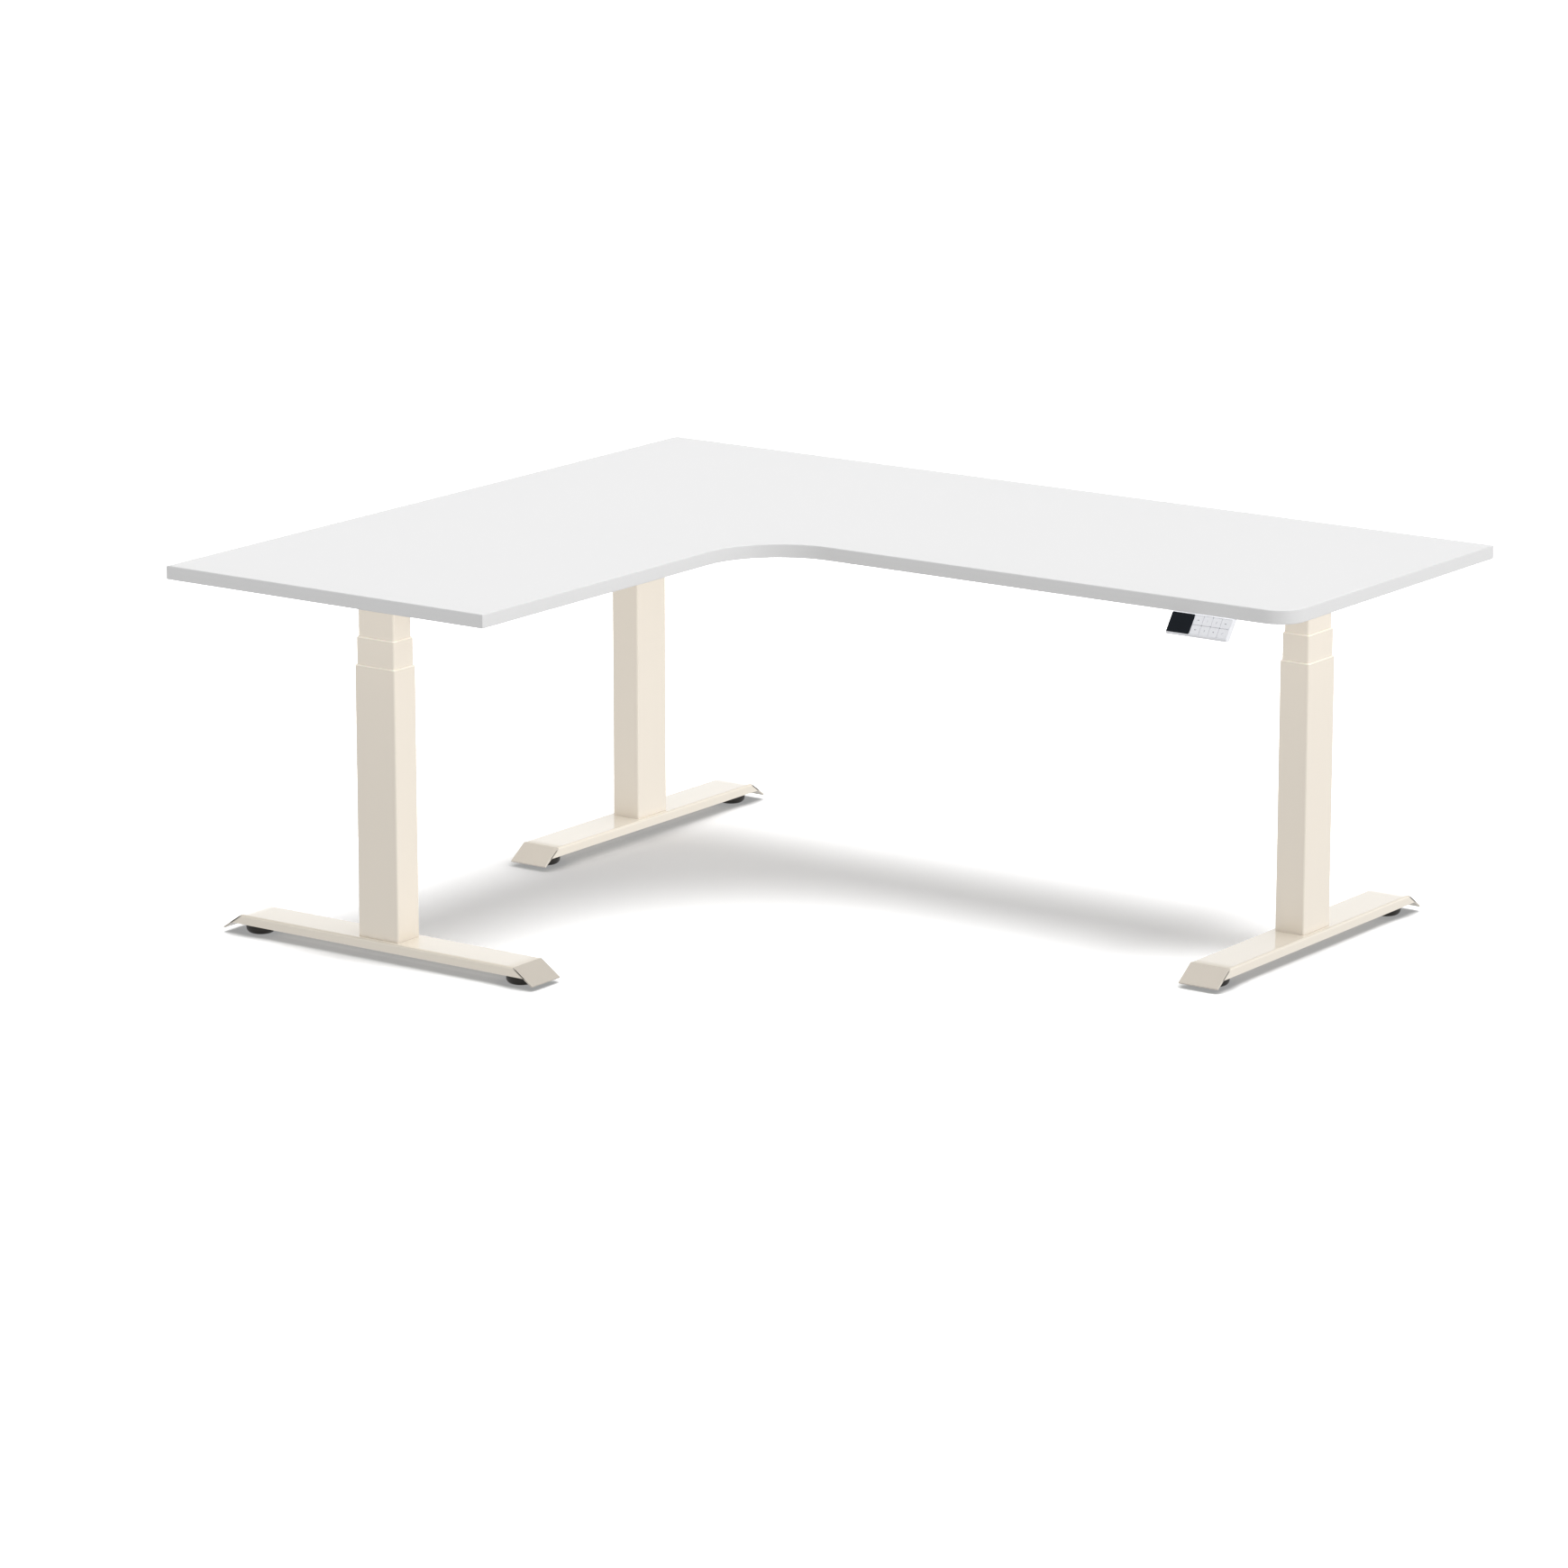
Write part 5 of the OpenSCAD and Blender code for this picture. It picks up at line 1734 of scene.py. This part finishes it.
@dataclass
class Studio:
    """Pale floor, soft sky, wide soft lamps and the camera. The desk sees a pale ground of
    the sky's own; the floor that shows is for the camera and takes the shadow."""

    floor_colour: str = "#fafafa"
    floor_r: float = 60.0
    floor_sides: int = 64
    sky_even: float = 1.47
    sky_slope: tuple[float, float, float] = (0.34, 0.44, 0.0)
    sky_fade: float = 0.35
    ground_dark: float = 0.8
    mirrored: float = 2.0
    backdrop: float = 1.06
    lamp_share: float = 0.68
    side_share: float = 0.16
    floor_lamp_share: float = 2.3
    floor_glow: float = 0.2
    contact_r: float = 0.045
    contact_power: float = 2.5
    contact_light: float = 0.34
    lamp_from: tuple[float, float, float] = (0.10, 0.05, 1.0)
    side_from: tuple[float, float, float] = (1.0, 0.0, 0.15)
    lamp_angle: float = 56.0
    lamps_pass: tuple[str, ...] = (
        "long_board", "return_wing_board", "long_beam", "return_wing_beam",
        "corner_arm", "right_arm", "return_arm",
    )
    camera_at: tuple[float, float, float] = (6.42235, -9.16870, 3.00476)
    camera_pitch: float = 76.299
    camera_yaw: float = 35.469
    lens: float = 149.10
    sensor: float = 36.0
    sight: float = 200.0

    def floor(self) -> bpy.types.Object:
        """Lays a round floor: (r cos a, r sin a, 0) for one ring, closed by a flat face.
        Its underside is clear, so that the desk can be seen from below. Its glow, which
        only the camera meets, keeps the shadow on it pale; where feet stand close above
        it, a painted contact shadow darkens it as the power of its open share.

        Returns:
            The floor.
        """
        sides = self.floor_sides
        rim = np.column_stack([on_circle(full_turn(sides)), np.zeros(sides)]) * self.floor_r
        mesh = bpy.data.meshes.new("studio_floor")
        mesh.from_pydata(rim.tolist(), [], [list(range(sides))])
        floor = in_scene("studio_floor", mesh)
        for kind in ("diffuse", "glossy", "transmission", "volume_scatter", "shadow"):
            setattr(floor, f"visible_{kind}", False)
        material = bpy.data.materials.new("matt_floor_paint")
        material.use_nodes = True
        tree = material.node_tree
        add, colour = partial(add_node, tree), linear(self.floor_colour)
        below = add("NewGeometry").outputs["Backfacing"]
        paint = add("BsdfDiffuse", {"Color": colour}).outputs[0]
        glow = add("Emission", {"Color": colour, "Strength": self.floor_glow}).outputs[0]
        pale = add("AddShader", None, {0: paint, 1: glow}).outputs[0]
        # painted contact shadow: a dim glow mixed in by the power of the open share that the AO
        # finds
        near = add("AmbientOcclusion", {"Distance": self.contact_r}, samples=6).outputs["AO"]
        share = add("Math", {1: self.contact_power}, {0: near}, operation="POWER").outputs[0]
        dark = add("Emission", {"Color": colour, "Strength": self.contact_light}).outputs[0]
        painted_contact_shadow = add("MixShader", None, {0: share, 1: dark, 2: pale}).outputs[0]
        clear = add("BsdfTransparent").outputs[0]
        seen = add("MixShader", None, {0: below, 1: painted_contact_shadow, 2: clear}).outputs[0]
        output = next(n for n in tree.nodes if n.type == "OUTPUT_MATERIAL")
        tree.links.new(seen, output.inputs["Surface"])
        mesh.materials.append(material)
        return floor

    def sky(self) -> None:
        """Lights from above with strength (even + slope . direction) exp(-z / fade), so
        brightest low down; mirrors see one even level instead, times the same fade. Lights
        from below with the floor's colour times 1 less dark z squared, as a floor in the
        desk's shade. The camera sees the floor's colour, as bright as the floor is lit."""
        world = bpy.data.worlds.new("soft_sky")
        world.use_nodes = True
        bpy.context.scene.world = world
        tree = world.node_tree
        add, calc = partial(add_node, tree), partial(add_node, tree, "Math")
        mix = partial(add_node, tree, "Mix", data_type="FLOAT")
        towards = add("TexCoord").outputs["Generated"]
        height = add("SeparateXYZ", None, {0: towards}).outputs[2]
        tilt = add("VectorMath", {1: self.sky_slope}, {0: towards}, operation="DOT_PRODUCT")
        # a Mix node of numbers takes them at inputs 2 and 3
        ray = add("LightPath").outputs
        even = calc({1: self.sky_even}, {0: tilt.outputs["Value"]}, operation="ADD").outputs[0]
        level = mix({3: self.mirrored}, {0: ray["Is Glossy Ray"], 2: even}).outputs[0]
        fall = math.exp(-1 / self.sky_fade)
        fade = calc({0: fall}, {1: height}, operation="POWER").outputs[0]
        above = calc(None, {0: level, 1: fade}, operation="MULTIPLY").outputs[0]
        square = calc(None, {0: height, 1: height}, operation="MULTIPLY").outputs[0]
        dimming = {1: -self.ground_dark, 2: 1.0}
        shade = calc(dimming, {0: square}, operation="MULTIPLY_ADD").outputs[0]
        is_below = calc({1: 0.0}, {0: height}, operation="LESS_THAN").outputs[0]
        light = mix(None, {0: is_below, 2: above, 3: shade}).outputs[0]
        strength = mix({3: self.backdrop}, {0: ray["Is Camera Ray"], 2: light}).outputs[0]
        backdrop = next(n for n in tree.nodes if n.type == "BACKGROUND")
        backdrop.inputs["Color"].default_value = linear(self.floor_colour)
        tree.links.new(strength, backdrop.inputs["Strength"])

    def lamp(self, name: str, share: float, place: tuple[float, float, float]) -> bpy.types.Object:
        """Hangs a wide soft lamp.

        Args:
            name: Name of the lamp.
            share: Its light on a face square to it, as a share of white.
            place: Direction of the lamp from the desk.

        Returns:
            The lamp.
        """
        light = bpy.data.lights.new(name, "SUN")
        light.energy = math.pi * share
        light.angle = math.radians(self.lamp_angle)
        lamp = in_scene(name, light)
        lamp.rotation_mode = "QUATERNION"
        lamp.rotation_quaternion = Vector(place).to_track_quat("Z", "Y")
        return lamp

    def camera(self) -> None:
        """Sets the camera on the desk from the front right."""
        lens = bpy.data.cameras.new("camera")
        lens.lens, lens.sensor_width, lens.clip_end = self.lens, self.sensor, self.sight
        camera = in_scene("camera", lens)
        camera.location = self.camera_at
        pitch, yaw = math.radians(self.camera_pitch), math.radians(self.camera_yaw)
        camera.rotation_euler = (pitch, 0.0, yaw)
        bpy.context.scene.camera = camera

    def build(self) -> None:
        """Builds the whole studio round the finished desk. Two lamps light the desk, through
        its top, so that what is below it stays as bright; the third lights the floor and
        casts the shadow."""
        self.camera()
        floor = self.floor()
        self.sky()
        whitener = self.lamp("floor_whitener", self.floor_lamp_share, self.lamp_from)
        whitened = linked_group("lit_by_whitener", [floor], "INCLUDE")
        whitener.light_linking.receiver_collection = whitened
        top = [bpy.data.objects[name] for name in self.lamps_pass]
        lit = linked_group("not_lit", [floor], "EXCLUDE")
        clear = linked_group("not_in_the_way", top, "EXCLUDE")
        for softbox in (
            self.lamp("overhead_softbox", self.lamp_share, self.lamp_from),
            self.lamp("side_softbox", self.side_share, self.side_from),
        ):
            softbox.light_linking.receiver_collection = lit
            softbox.light_linking.blocker_collection = clear
        bpy.context.scene.view_settings.view_transform = "Standard"


def linked_group(
    name: str, members: Sequence[bpy.types.Object], state: str
) -> bpy.types.Collection:
    """Makes a collection for light linking.

    Args:
        name: Name of the collection.
        members: Its objects.
        state: INCLUDE or EXCLUDE.

    Returns:
        The collection.
    """
    group = bpy.data.collections.new(name)
    for member in members:
        group.objects.link(member)
    for entry in group.collection_objects:
        entry.light_linking.link_state = state
    return group


def main() -> None:
    """Builds the studio and every sub-assembly round the frame, in order."""
    logging.basicConfig(level=logging.INFO, format="%(name)s %(message)s")
    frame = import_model()
    for kind in (Desktop, Feet, Columns, ScrewDrives, UnderFrame, ControlBox, Handset):
        assembly = kind()
        assembly.build(frame["nodes"])
        LOG.info("%s done", type(assembly).__name__)
    Studio().build()
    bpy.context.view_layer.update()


if __name__ == "__main__":
    main()
